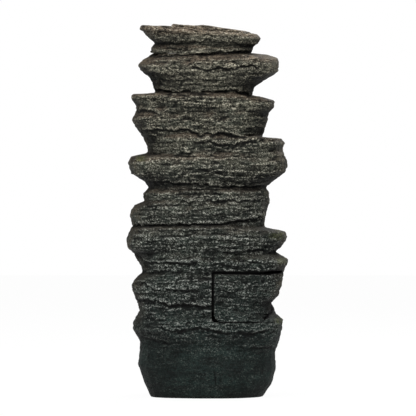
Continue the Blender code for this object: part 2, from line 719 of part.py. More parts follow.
def make_door(rock, cavity, finishes):
    """The door is the piece of the rear shell inside the door's edge."""
    door = object_from("access_door", half_shell(rock, cavity, "rear"), finishes["rock"])
    edge = prism(door_outline(0.0, 0.0, 0.0, CORD_NOTCH), DOOR_START, PAST, across="Y")
    cut(door, cutter_from("cut_door_edge", edge), operation="INTERSECT")
    for number, (x, height) in enumerate(magnet_spots(), 1):
        start = cavity.depths_round(x, height, MAGNET_RADIUS)[1]
        end = start + PLATE_LENGTH
        pocket = rod_along_y(MAGNET_RADIUS + MAGNET_FIT, DOOR_START, end + TOUCH, x, height)
        cut(door, cutter_from(f"cut_plate_{number}", pocket))
        plate = rod_along_y(MAGNET_RADIUS, start, end, x, height)
        object_from(f"door_plate_{number}", plate, finishes["steel"])


def magnet_spots():
    """Where the magnets sit, as (x, height), in the middle of the frame's lap."""
    spots = [(DOOR_INNER_EDGE - x, DOOR_TOP - FRAME_LAP / 2) for x in MAGNETS_AT_TOP]
    return spots + [(DOOR_INNER_EDGE - x, DOOR_FOOT + FRAME_LAP / 2) for x in MAGNETS_AT_FOOT]


def rod_along_y(radius, start, end, x, height):
    bm = rod(radius, start, end, 16)
    bm.transform(Matrix.Rotation(-math.pi / 2, 4, "X"))
    return moved(bm, x, 0.0, height)


def make_door_frame(cavity, finishes):
    """A band that follows the inside of the shell and laps behind the door's edge."""
    outer = cavity.inward(TOUCH)
    inner = outer.inward(FRAME_THICKNESS)
    frame = object_from("door_frame", half_shell(outer, inner, "rear"), finishes["tub"])
    whole = frame_outline(FRAME_LAP)
    window = frame_outline(-FRAME_LAP)
    cut(frame, cutter_from("cut_frame_edge", prism(whole, DOOR_START, PAST, across="Y")),
        operation="INTERSECT")
    cut(frame, cutter_from("cut_frame_window", prism(window, 0.0, PAST, across="Y")))
    cord_slot = block(
        (DOOR_INNER_EDGE - CORD_NOTCH, DOOR_INNER_EDGE + DOOR_SIDE_GAP), (DOOR_START, PAST),
        (DOOR_FOOT - DOOR_FOOT_GAP, DOOR_FOOT + FRAME_LAP + CORD_NOTCH),
    )
    cut(frame, cutter_from("cut_frame_cord_slot", cord_slot))
    for number, (x, height) in enumerate(magnet_spots(), 1):
        end = outer.depths_round(x, height, MAGNET_RADIUS)[0] - TOUCH
        hole = rod_along_y(MAGNET_RADIUS + MAGNET_FIT, DOOR_START, PAST, x, height)
        cut(frame, cutter_from(f"cut_magnet_{number}", hole))
        magnet = rod_along_y(MAGNET_RADIUS, end - MAGNET_LENGTH, end, x, height)
        object_from(f"frame_magnet_{number}", magnet, finishes["ferrite"])


def frame_outline(lap):
    """The frame's edge (a lap outside the door's edge) or its window (a lap inside)."""
    inner_edge = DOOR_INNER_EDGE + lap
    far_edge = FRAME_SIDE_END - min(lap, 0.0)
    low, high = DOOR_FOOT - lap, DOOR_TOP + lap
    return [(inner_edge, low), (inner_edge, high), (far_edge, high), (far_edge, low)]


# The top slab

def make_top_slab(slab_rock, finishes):
    """One closed skin: up from the hollow under the dish, round the rim and down into the dish."""
    hollow = slab_rock.radii[:3].min(axis=0) - SHELL_WALL
    rim = slab_rock.radii[-1] - DISH_RIM
    bm = bmesh.new()
    rows = [
        level_row(slab_rock, hollow, DISH_FLOOR - DISH_SHELL),
        level_row(slab_rock, hollow, TOP_SEAT),
        *slab_rock.rows(),
        [at(r, a, outline_height(TOP_STRATA[-1], a, r)) for r, a in zip(rim, slab_rock.angles)],
        level_row(slab_rock, rim - DISH_SLOPE, DISH_FLOOR),
    ]
    rows = new_rows(bm, rows)
    skin(bm, rows, closed=True)
    bm.faces.new(rows[0])
    bm.faces.new(rows[-1])
    slab = object_from("top_slab", bm, finishes["rock"])
    bore = moved(rod(SPOUT_THREAD_RADIUS + TOUCH, 0.0, PAST, 24), SPOUT_X, SPOUT_Y, TOP_SEAT)
    front_reach, top = TOP_STRATA[-1].front
    lip_y = (-front_reach - HEADROOM, -front_reach + DISH_RIM + DISH_SLOPE)
    lip = block((-LIP_WIDTH / 2, LIP_WIDTH / 2), lip_y, (top - LIP_DEPTH, top + HEADROOM))
    return cut(slab, cutter_from("cut_spout_bore", bore), cutter_from("cut_top_lip", lip))


def level_row(surface, radii, height):
    return [at(radius, angle, height) for radius, angle in zip(radii, surface.angles)]


def make_crown_stone(slab_rock, finishes):
    """A low stone on the dish's back rim, over the spout."""
    edge = slab_rock.inward(CROWN_INSET)
    back = []
    front = [(x * TOWER_WIDTH / 2, y * TOWER_DEPTH / 2) for x, y in CROWN_FRONT]
    for x in np.linspace(front[-1][0], front[0][0], CROWN_BACK_POINTS):
        back.append((float(x), edge.depth_of_row(-1, x)))
    outline = back + front
    top_places, top_shares = zip(*CROWN_TOP)
    middle = Vector((0.0, sum(y for _, y in outline) / len(outline)))
    bottom, top = [], []
    for x, y in outline:
        rim_height = outline_height(TOP_STRATA[-1], math.atan2(y, x), math.hypot(x, y))
        bottom.append((x, y, rim_height + TOUCH))
        inward = (middle - Vector((x, y))).normalized() * CROWN_TAPER
        share = float(np.interp(2 * x / TOWER_WIDTH, top_places, top_shares))
        high = TOP_SEAT + share * (TOP_THICKNESS + CROWN_RISE)
        top.append((x + inward.x, y + inward.y, high))
    bm = bmesh.new()
    rows = new_rows(bm, [bottom, top])
    skin(bm, rows, closed=True)
    for row in rows:
        bm.faces.new(row)
    bmesh.ops.triangulate(bm, faces=bm.faces)
    return object_from("crown_stone", bm, finishes["rock"])


# The reservoir

def make_tub(cavity, rim_level, finishes):
    """The tub is laid up against the inside of the base, with a level floor."""
    outer = cavity.inward(TUB_FIT)
    inner = outer.inward(TUB_WALL)
    bm = bmesh.new()
    outside = new_rows(bm, outer.rows(rim_level))
    floor = level_row(inner, inner.radii[0], TUB_FLOOR)
    inside = new_rows(bm, [floor] + inner.rows(rim_level)[1:])
    skin(bm, outside, closed=True)
    skin(bm, inside, closed=True)
    skin(bm, [inside[-1], outside[-1]], closed=True)
    bm.faces.new(outside[0])
    bm.faces.new(inside[0])
    tub = object_from("reservoir_tub", bm, finishes["tub"])
    hole = moved(rod(DRAIN_RADIUS, -TUB_FLOOR, 2 * TUB_FLOOR, 24), DRAIN_X, DRAIN_Y, 0.0)
    return cut(tub, cutter_from("cut_drain", hole))


def make_screen(cavity, rim_level, finishes):
    """A slotted board across the tub, between the open basin and the pump."""
    inside = cavity.inward(TUB_FIT + TUB_WALL)
    front = basin_back(rim_level + 1) + SCREEN_SETBACK
    back = front + SCREEN_THICKNESS
    sides = {1: [], -1: []}
    for row in inside.rows(rim_level):
        for side, edge in sides.items():
            quarter = [p for p in row if p.y < TOUCH and p.x * side > -TOUCH]
            quarter.sort(key=lambda p: p.y)
            ys = [p.y for p in quarter]
            x = min(side * np.interp(y, ys, [p.x for p in quarter]) for y in (front, back))
            height = np.interp(back, ys, [p.z for p in quarter])
            edge.append((side * float(x - SCREEN_FIT), float(height)))
    outline = []
    for side, edge in sides.items():
        low = (edge[0][0], TUB_FLOOR + TOUCH)
        outline += ([low] + edge[1:])[::side]
    board = prism(outline, front, back, across="Y")
    screen = object_from("basin_screen", board, finishes["tub"])
    cutters = []
    for i in range(SCREEN_SLOTS):
        x = (i - (SCREEN_SLOTS - 1) / 2) * SLOT_PITCH
        slot = block(
            (x - SLOT_WIDTH / 2, x + SLOT_WIDTH / 2), (front - SLOT_WIDTH, back + SLOT_WIDTH),
            (SLOT_FOOT, SLOT_FOOT + SLOT_HEIGHT),
        )
        cutters.append(cutter_from(f"cut_screen_slot_{i + 1}", slot))
    return cut(screen, *cutters)


def make_drain_plug(finishes):
    """A rubber stopper with a pull tab, in the hole in the tub's floor."""
    stem = DRAIN_RADIUS - TOUCH
    seat = TUB_FLOOR + TOUCH
    head_radius = DRAIN_RADIUS + DRAIN_FLANGE
    head = seat + DRAIN_HEAD
    profile = (
        (0, TOUCH), (stem - DRAIN_TAPER, TOUCH), (stem, seat), (head_radius, seat),
        (head_radius, head), (0, head),
    )
    plug = object_from("drain_plug", turned(profile, 24), finishes["rubber"])
    half_thickness, half_width = DRAIN_TAB_HALF
    tab = block(
        (-half_thickness, half_thickness), (-half_width, half_width),
        (seat + DRAIN_HEAD / 2, head + DRAIN_TAB_HEIGHT),
    )
    tab = cutter_from("add_drain_tab", tab)
    cut(plug, tab, operation="UNION")
    for obj in (plug, tab):
        obj.location = (DRAIN_X, DRAIN_Y, 0.0)
    return plug


# The pump

def make_pump(finishes):
    """The pump's pieces, under one empty in the middle of its underside."""
    pump = bpy.data.objects.new("pump", None)
    bpy.context.scene.collection.objects.link(pump)
    pump.location = (PUMP_X, PUMP_Y, TUB_FLOOR + TOUCH + PUMP_FOOT_HEIGHT)
    pieces = [
        make_pump_housing(finishes),
        make_volute_cover(finishes),
        make_impeller(finishes),
        make_shaft(finishes),
        make_intake_cage(finishes),
        make_flow_dial(finishes),
        make_cord_gland(finishes),
        make_outlet_barb(finishes),
    ]
    pieces += make_suction_cups(finishes)
    helpers = [obj for obj in bpy.data.objects if obj.name.startswith("pump_cut")]
    for piece in pieces + helpers:
        piece.parent = pump
    return pump


def on_pump_axis(bm):
    """Lays a shape turned about Z on the impeller's axis."""
    return moved(turned_along_x(bm), 0.0, 0.0, PUMP_AXIS)


def make_pump_housing(finishes):
    body = block((PUMP_BACK, PUMP_FRONT), (-PUMP_HALF_WIDTH, PUMP_HALF_WIDTH), (0.0, PUMP_HEIGHT))
    bmesh.ops.bevel(
        body, geom=body.edges, offset=PUMP_EDGE, segments=2, profile=0.5, affect="EDGES",
    )
    housing = object_from("pump_housing", body, finishes["plastic"])
    overlap = PUMP_EDGE
    volute = on_pump_axis(rod(VOLUTE_RADIUS, PUMP_FRONT - overlap, VOLUTE_END, 32))
    outlet = moved(rod(OUTLET_RADIUS, PUMP_AXIS, OUTLET_TOP, 24), OUTLET_X, 0.0, 0.0)
    bore = moved(rod(OUTLET_BORE, PUMP_AXIS, OUTLET_TOP + overlap, 18), OUTLET_X, 0.0, 0.0)
    pivot = SHAFT_RADIUS + SHAFT_FIT
    pivot_end = WELL_END - SHAFT_SEAT
    rooms = (
        (0, pivot_end), (pivot, pivot_end), (pivot, WELL_END), (WELL_RADIUS, WELL_END),
        (WELL_RADIUS, CHAMBER_START), (CHAMBER_RADIUS, CHAMBER_START),
        (CHAMBER_RADIUS, VOLUTE_END + overlap), (0, VOLUTE_END + overlap),
    )
    cut(housing, cutter_from("pump_cut_volute", volute), operation="UNION")
    cut(housing, cutter_from("pump_cut_outlet", outlet), operation="UNION")
    return cut(
        housing,
        cutter_from("pump_cut_rooms", on_pump_axis(turned(rooms, 20))),
        cutter_from("pump_cut_bore", bore),
    )


def make_volute_cover(finishes):
    start = VOLUTE_END + TOUCH
    end = start + COVER_THICKNESS
    bore = SHAFT_RADIUS + SHAFT_FIT
    cover = object_from(
        "pump_volute_cover", on_pump_axis(pipe(COVER_RADIUS, bore, start, end, 24)),
        finishes["plastic"],
    )
    holes = []
    for i in range(INLET_HOLES):
        turn = 2 * math.pi * (i + 0.4) / INLET_HOLES
        hole = moved(
            rod(INLET_HOLE_RADIUS, start - COVER_THICKNESS, end + COVER_THICKNESS, 10),
            INLET_CIRCLE * math.cos(turn), INLET_CIRCLE * math.sin(turn), 0.0,
        )
        holes.append(cutter_from(f"pump_cut_inlet_{i + 1}", on_pump_axis(hole)))
    return cut(cover, *holes)


def make_impeller(finishes):
    """Magnet rotor, hub disc and vanes in one piece; it turns on the shaft."""
    rotor_start = WELL_END + RUNNING_GAP
    hub_start = CHAMBER_START + RUNNING_GAP
    hub_end = hub_start + HUB_THICKNESS
    bore = SHAFT_RADIUS + SHAFT_FIT
    profile = (
        (bore, rotor_start), (ROTOR_RADIUS, rotor_start), (ROTOR_RADIUS, hub_start),
        (HUB_RADIUS, hub_start), (HUB_RADIUS, hub_end), (2 * bore, hub_end),
        (2 * bore, hub_end + VANE_HEIGHT), (bore, hub_end + VANE_HEIGHT),
    )
    impeller = object_from("pump_impeller", turned_along_x(turned(profile, 24)), finishes["ferrite"])
    vanes = []
    for i in range(VANES):
        vane = block(
            (-VANE_THICKNESS / 2, VANE_THICKNESS / 2), (1.5 * bore, HUB_RADIUS - VANE_THICKNESS / 2),
            (hub_end - HUB_THICKNESS / 2, hub_end + VANE_HEIGHT - TOUCH),
        )
        vane.transform(Matrix.Rotation(2 * math.pi * i / VANES, 4, "Z"))
        vanes.append(cutter_from(f"pump_cut_vane_{i + 1}", turned_along_x(vane)))
    cut(impeller, *vanes, operation="UNION")
    for obj in (impeller, *vanes):
        obj.location.z = PUMP_AXIS
    return impeller


def make_shaft(finishes):
    start = WELL_END - SHAFT_SEAT + TOUCH
    end = VOLUTE_END + TOUCH + COVER_THICKNESS
    return object_from(
        "pump_shaft", on_pump_axis(rod(SHAFT_RADIUS, start, end, 16)), finishes["steel"]
    )


def cage_end():
    return PUMP_FRONT + TOUCH + CAGE_LENGTH


def make_intake_cage(finishes):
    """A slotted box that clips over the volute and keeps leaves out of the pump."""
    start, end = PUMP_FRONT + TOUCH, cage_end()
    half = PUMP_HALF_WIDTH
    low, high = TOUCH, PUMP_HEIGHT - TOUCH
    cage = object_from(
        "pump_intake_cage", block((start, end), (-half, half), (low, high)), finishes["plastic"],
        smooth=False,
    )
    inside = block(
        (start - CAGE_WALL, end - CAGE_WALL), (-half + CAGE_WALL, half - CAGE_WALL),
        (low + CAGE_WALL, high - CAGE_WALL),
    )
    notch = block(
        (start - CAGE_WALL, OUTLET_X + OUTLET_RADIUS + NOTCH_FIT),
        (-OUTLET_RADIUS - NOTCH_FIT, OUTLET_RADIUS + NOTCH_FIT), (PUMP_AXIS, PUMP_HEIGHT + CAGE_WALL),
    )
    cutters = [cutter_from("pump_cut_cage_inside", inside), cutter_from("pump_cut_cage_notch", notch)]
    for side in (-1, 1):
        for i in range(CAGE_SLOTS):
            z = PUMP_AXIS + (i - (CAGE_SLOTS - 1) / 2) * CAGE_SLOT_PITCH
            y = sorted((side * (half - 2 * CAGE_WALL), side * (half + CAGE_WALL)))
            slot = block(
                (start + CAGE_SLOT_MARGIN, end - CAGE_SLOT_MARGIN), y,
                (z - CAGE_SLOT_WIDTH / 2, z + CAGE_SLOT_WIDTH / 2),
            )
            cutters.append(cutter_from(f"pump_cut_cage_slot_{side}_{i}", slot))
    hole = on_pump_axis(rod(DIAL_PIN_RADIUS + PIN_FIT, end - 2 * CAGE_WALL, end + CAGE_WALL, 16))
    cutters.append(cutter_from("pump_cut_dial_hole", hole))
    return cut(cage, *cutters)


def make_flow_dial(finishes):
    """A knob on the cage's end that turns to open or close the intake."""
    end = cage_end()
    face = end + TOUCH
    profile = (
        (0, end - CAGE_WALL), (DIAL_PIN_RADIUS, end - CAGE_WALL), (DIAL_PIN_RADIUS, face),
        (DIAL_RADIUS, face), (DIAL_RADIUS, face + DIAL_THICKNESS), (0, face + DIAL_THICKNESS),
    )
    dial = object_from("pump_flow_dial", turned_along_x(turned(profile, 24)), finishes["grey"])
    length, width, height = DIAL_GRIP
    grip = block(
        (-length / 2, length / 2), (-width / 2, width / 2),
        (face + DIAL_THICKNESS / 2, face + DIAL_THICKNESS + height),
    )
    grip = cutter_from("pump_cut_dial_grip", turned_along_x(grip))
    cut(dial, grip, operation="UNION")
    for obj in (dial, grip):
        obj.location.z = PUMP_AXIS
    return dial


def make_cord_gland(finishes):
    """The ring where the pump's lead would leave its housing."""
    end = PUMP_BACK - TOUCH
    profile = (
        (GLAND_BORE, end), (GLAND_BORE, end - GLAND_LENGTH),
        (GLAND_BORE + GLAND_TIP, end - GLAND_LENGTH), (GLAND_RADIUS, end - GLAND_COLLAR),
        (GLAND_RADIUS, end),
    )
    return object_from("pump_cord_gland", on_pump_axis(turned(profile, 20)), finishes["rubber"])


def make_outlet_barb(finishes):
    """The push-on adapter from the pump's outlet to the hose."""
    low, stop = OUTLET_TOP - SOCKET_OVERLAP, OUTLET_TOP + TOUCH
    shoulder = stop + SOCKET_SHOULDER
    bore = OUTLET_RADIUS + TOUCH
    socket = bore + SOCKET_WALL
    profile = [(bore, low), (socket, low), (socket, shoulder), (BARB_RADIUS, shoulder)]
    profile += barb_ridges(shoulder, 1)
    profile += [(OUTLET_BORE, shoulder + BARB_LENGTH), (OUTLET_BORE, stop), (bore, stop)]
    barb = object_from("pump_outlet_barb", turned(profile, 16), finishes["grey"])
    barb.location.x = OUTLET_X
    return barb


def barb_ridges(start, direction):
    """Three sharp ridges along a barb that begins at start and runs up (1) or down (-1)."""
    points = []
    step = BARB_LENGTH / 3
    for i in range(3):
        foot = start + direction * step * i
        points.append((BARB_RADIUS, foot + direction * step * 0.4))
        points.append((RIDGE_RADIUS, foot + direction * step * 0.5))
        points.append((BARB_RADIUS, foot + direction * step))
    return points


def make_suction_cups(finishes):
    top = PUMP_FOOT_HEIGHT - TOUCH
    profile = (
        (0, 2 * CUP_LIP), (CUP_STEM, CUP_LIP), (CUP_RADIUS, 0.0), (CUP_RADIUS, CUP_LIP / 2),
        (CUP_STEM, CUP_SKIRT), (CUP_STEM, top), (0, top),
    )
    cups = []
    for x in (PUMP_BACK + CUP_INSET, PUMP_FRONT - CUP_INSET):
        for y in (-PUMP_HALF_WIDTH + CUP_INSET, PUMP_HALF_WIDTH - CUP_INSET):
            name = f"pump_suction_cup_{len(cups) + 1}"
            cup = object_from(name, turned(profile, 20), finishes["rubber"])
            cup.location = (x, y, -PUMP_FOOT_HEIGHT)
            cups.append(cup)
    return cups


# The hose and its fittings

def pump_outlet_height():
    """Where the pump's adapter ends and the barb for the hose begins."""
    return TUB_FLOOR + TOUCH + PUMP_FOOT_HEIGHT + OUTLET_TOP + TOUCH + SOCKET_SHOULDER


def spout_barb_top():
    return DISH_FLOOR - SPOUT_THREAD


def hose_path():
    """Straight up from the pump, over in one easy bend and straight up to the spout."""
    start = Vector((PUMP_X + OUTLET_X, PUMP_Y, pump_outlet_height() + TOUCH))
    end = Vector((SPOUT_X, SPOUT_Y, spout_barb_top() - TOUCH))
    bend_start = start.z + HOSE_STRAIGHT_UP
    points = [start, Vector((start.x, start.y, (start.z + bend_start) / 2))]
    for i in range(HOSE_BEND_STEPS + 1):
        share = i / HOSE_BEND_STEPS
        eased = share ** 3 * (10 - 15 * share + 6 * share ** 2)
        point = start.lerp(end, eased)
        point.z = bend_start + share * (HOSE_SETTLED - bend_start)
        points.append(point)
    points.append(Vector((end.x, end.y, (HOSE_SETTLED + end.z) / 2)))
    points.append(end)
    return points


def make_hose(finishes):
    """A tube with an open bore, swept along its path with level rings."""
    path = hose_path()
    turns = [2 * math.pi * i / HOSE_SIDES for i in range(HOSE_SIDES)]
    bm = bmesh.new()
    walls = []
    for radius in (HOSE_RADIUS, HOSE_BORE):
        walls.append(new_rows(bm, [[centre + at(radius, t, 0.0) for t in turns] for centre in path]))
        skin(bm, walls[-1], closed=True)
    for end in (0, -1):
        skin(bm, [walls[0][end], walls[1][end]], closed=True)
    return object_from("riser_hose", bm, finishes["hose"])


def make_hose_clamp(name, x, y, height, finishes):
    """A worm clamp: a band round the hose's end with its screw housing."""
    bore = HOSE_RADIUS + TOUCH
    band = pipe(bore + CLAMP_THICKNESS, bore, -CLAMP_WIDTH / 2, CLAMP_WIDTH / 2, 24)
    clamp = object_from(name, band, finishes["steel"])
    screw = block(
        (-CLAMP_SCREW, CLAMP_SCREW), (bore + CLAMP_THICKNESS / 3, bore + CLAMP_SCREW),
        (-CLAMP_WIDTH / 2 + TOUCH, CLAMP_WIDTH / 2 - TOUCH),
    )
    screw = cutter_from(f"add_{name}_screw", screw)
    cut(clamp, screw, operation="UNION")
    for obj in (clamp, screw):
        obj.location = (x, y, height)
    return clamp


def make_hose_clip(number, cavity, height, finishes):
    """A ring round the hose on an arm that reaches the inside of the rear shell."""
    bore = HOSE_RADIUS + TOUCH
    ring = pipe(bore + CLIP_WALL, bore, -CLIP_HALF_HEIGHT, CLIP_HALF_HEIGHT, 24)
    clip = object_from(f"hose_clip_{number}", ring, finishes["grey"])
    half = CLIP_HALF_HEIGHT
    reach = min(cavity.depth(SPOUT_X + side * half, height + lift)
                for side in (-1, 0, 1) for lift in np.linspace(-half, half, 7))
    arm = block(
        (-half, half), (bore + CLIP_WALL / 3, reach - TOUCH - SPOUT_Y), (-half + TOUCH, half - TOUCH)
    )
    arm = cutter_from(f"add_clip_arm_{number}", arm)
    cut(clip, arm, operation="UNION")
    for obj in (clip, arm):
        obj.location = (SPOUT_X, SPOUT_Y, height)
    return clip


def make_spout(finishes):
    """The flanged fitting through the dish's floor, and the nut that holds it from below."""
    flange_foot = DISH_FLOOR + TOUCH
    thread_foot = spout_barb_top()
    profile = [
        (OUTLET_BORE, flange_foot + SPOUT_FLANGE), (SPOUT_FLANGE_RADIUS, flange_foot + SPOUT_FLANGE),
        (SPOUT_FLANGE_RADIUS, flange_foot), (SPOUT_THREAD_RADIUS, flange_foot),
        (SPOUT_THREAD_RADIUS, thread_foot), (BARB_RADIUS, thread_foot),
    ]
    profile += barb_ridges(thread_foot, -1)
    profile.append((OUTLET_BORE, thread_foot - BARB_LENGTH))
    spout = object_from("spout_fitting", turned(profile, 16), finishes["plastic"])
    nut_top = DISH_FLOOR - DISH_SHELL - TOUCH
    nut = object_from(
        "spout_nut", rod(NUT_RADIUS, nut_top - NUT_THICKNESS, nut_top, 6), finishes["plastic"],
        smooth=False,
    )
    bore = rod(SPOUT_THREAD_RADIUS + NUT_FIT, nut_top - 2 * NUT_THICKNESS, DISH_FLOOR, 24)
    bore = cutter_from("cut_nut_bore", bore)
    cut(nut, bore)
    for obj in (spout, nut, bore):
        obj.location = (SPOUT_X, SPOUT_Y, 0.0)


# The whole fountain

def clear_scene():
    for obj in list(bpy.data.objects):
        bpy.data.objects.remove(obj, do_unlink=True)


def main():
    clear_scene()
    finishes = make_materials()
    rock = rock_surface(SHELL_STRATA)
    basin_level = slab_top(SHELL_STRATA, "basin")
    cavity = cavity_surface(rock, solid_above=basin_level)
    slab_rock = rock_surface(TOP_STRATA)
    make_shells(rock, cavity, finishes)
    make_door(rock, cavity, finishes)
    make_door_frame(cavity, finishes)
    make_top_slab(slab_rock, finishes)
    make_crown_stone(slab_rock, finishes)
    make_tub(cavity, basin_level - 1, finishes)
    make_screen(cavity, basin_level - 1, finishes)
    make_drain_plug(finishes)
    make_pump(finishes)
    make_hose(finishes)
    make_spout(finishes)
    clamp_offset = BARB_LENGTH / 2
    lower = pump_outlet_height() + clamp_offset
    make_hose_clamp("hose_clamp_lower", PUMP_X + OUTLET_X, PUMP_Y, lower, finishes)
    make_hose_clamp("hose_clamp_upper", SPOUT_X, SPOUT_Y, spout_barb_top() - clamp_offset, finishes)
    for number, slab in enumerate(CLIP_SLABS, 1):
        height = slab_foot(slab) + CLIP_RISE
        make_hose_clip(number, cavity, height, finishes)


main()
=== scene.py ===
"""Looks of the garden fountain: dry-brushed rock, moulded as slate, and the plant inside it.

The rock pieces are made from the frame's own solids: evened out, then broken into thin strata by a
noise that is the same all through space, so that the shells, the door and the top slab match where
they meet. The water falls on the -Y side, and the photograph looks at the door, on the +Y side.
"""

import json
import math

import bmesh
import bpy
import numpy as np
from mathutils import Matrix, Vector
from mathutils.bvhtree import BVHTree


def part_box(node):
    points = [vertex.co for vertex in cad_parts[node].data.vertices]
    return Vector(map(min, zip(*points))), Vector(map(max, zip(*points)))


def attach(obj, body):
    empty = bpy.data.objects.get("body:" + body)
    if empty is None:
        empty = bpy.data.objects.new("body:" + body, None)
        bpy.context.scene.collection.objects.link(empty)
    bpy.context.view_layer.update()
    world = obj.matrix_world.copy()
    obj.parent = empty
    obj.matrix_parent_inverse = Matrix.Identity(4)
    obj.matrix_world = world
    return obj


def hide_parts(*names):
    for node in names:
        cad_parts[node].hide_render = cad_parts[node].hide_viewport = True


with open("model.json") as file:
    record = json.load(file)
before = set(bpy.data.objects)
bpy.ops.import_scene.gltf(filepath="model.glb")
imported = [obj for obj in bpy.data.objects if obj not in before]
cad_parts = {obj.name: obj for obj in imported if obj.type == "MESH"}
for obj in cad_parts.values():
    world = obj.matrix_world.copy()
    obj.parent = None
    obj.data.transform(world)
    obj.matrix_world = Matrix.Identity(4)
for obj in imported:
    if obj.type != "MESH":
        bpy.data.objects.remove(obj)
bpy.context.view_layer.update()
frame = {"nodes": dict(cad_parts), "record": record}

# The camera behind the fountain, at the photograph's angle
CAMERA_DISTANCE = 20.0
CAMERA_ELEVATION = math.radians(1.8)
PIXEL = 0.002688  # metres across one pixel of the photograph, at the tower's axis
PICTURE = 416
AXIS_PIXEL = 207.75
MIDDLE_HEIGHT = 0.5044  # height at the middle of the picture
SENSOR = 36.0
CLIP = (0.1, 60.0)

# The rock
VOXEL = 0.0032
FINE_VOXEL = 0.0024
WALL = 0.006  # the strata reach their full depth this far from the hollow's side
PAINTED_WALL = (0.0004, 0.0020)  # the outside's finish fades in this far from the hollow's side
WELD = 1e-6
HOLLOW_KEPT = 0.10  # the share of faces that stays on the hollow's side of the shells
SEAM_OVERLAP = 0.0008  # how far each shell reaches over the bonded seam between them
SEAM_REACH = 0.0030
HOLLOW_TOP = 0.946  # the tower is solid rock above this height
ROCK_NODES = ("rear_shell", "front_shell", "access_door", "top_slab")
RAY_START = 0.40
TURNS = 180
HEIGHT_STEP = 0.003
RECESS_REACH = 0.027  # how far up and down a recess is compared with its neighbours

# The front shell's thin walls, filled out on their inner side so that evening out keeps them
LEAST_WALL = 0.0046
THIN_WALL_START = 0.27  # the lowest pool's wall begins above this height
WALL_CUTS = 1  # how often each edge is cut before its walls are measured
INWARD, DOWNWARD = -0.2, -0.5  # a surface faces in or down where its normal is beyond these
BELOW_SURFACE = 1e-4  # a wall is measured from this far inside it
POOL_PATCH = ((-0.134, -0.0470, 0.668), (-0.110, -0.0405, 0.690))  # at the second pool's slit

# The strata that break up the slabs. Noises are given as (share or depth, size, seed).
STRATA_SEED = 11
STRATA_COUNT = 130
STRATA_START = -0.05
STRATUM_THICKNESS = (0.006, 0.017)
# How far the strata rise out to HALF_WIDTH at +X: (height, rise)
LEAN = (
    (0.00, 0.0), (0.60, -0.003), (0.66, -0.006), (0.72, 0.0),
    (0.80, 0.008), (0.87, 0.0), (0.97, 0.012),
)
HALF_WIDTH = 0.20
WAVES = (
    (0.0060, (0.15, 0.15, 0.20), 1),
    (0.0032, (0.032, 0.032, 0.022), 2),
    (0.0020, (0.010, 0.010, 0.010), 3),
)
WIDE_LAYERS = (0.55, (0.085, 0.085, 0.37), 4)
BROKEN_LAYERS = (0.75, (0.030, 0.030, 0.41), 5)
BREAKS = 3  # the broken layers stand at this many levels either way, with steep edges between
BREAK_EDGE = (0.55, 1.0)
CRUMBS = (0.30, (0.011, 0.011, 0.43), 6)
BENDS = (0.006, 0.025, (31, 32, 33))  # how far the relief is pushed about: (reach, size, seeds)
RELIEF = (
    (1.0, (0.040, 0.040, 0.017), 7),
    (0.7, (0.018, 0.018, 0.009), 8),
    (0.5, (0.010, 0.010, 0.006), 13),
)
RELIEF_MIDDLE = 0.6  # the relief's level that neither adds nor takes away
LIFTS = ((1.0, (0.045, 0.045, 0.060), 10), (0.5, (0.014, 0.014, 0.060), 12))
LAYER_SHIFT = 0.0046
LAYER_BULGE = 0.0012
RELIEF_SHIFT = 0.0021
VERTICAL_SHIFT = 0.0016
MOST_INWARD, MOST_OUTWARD = 0.0048, 0.0062
FRONT_GAIN = 0.7  # how much more the strata of the front's courses stand in and out
FRONT_MOST_OUTWARD = 0.0090
FRONT_DEPTH = (0.02, 0.07)  # the gain grows between these distances in front of the axis
FRONT_HEIGHT = (0.16, 0.22)
FLANK = (0.78, 0.97)  # the flanks begin and are full where x is this share of the radius
LEAST_RADIUS = 0.01

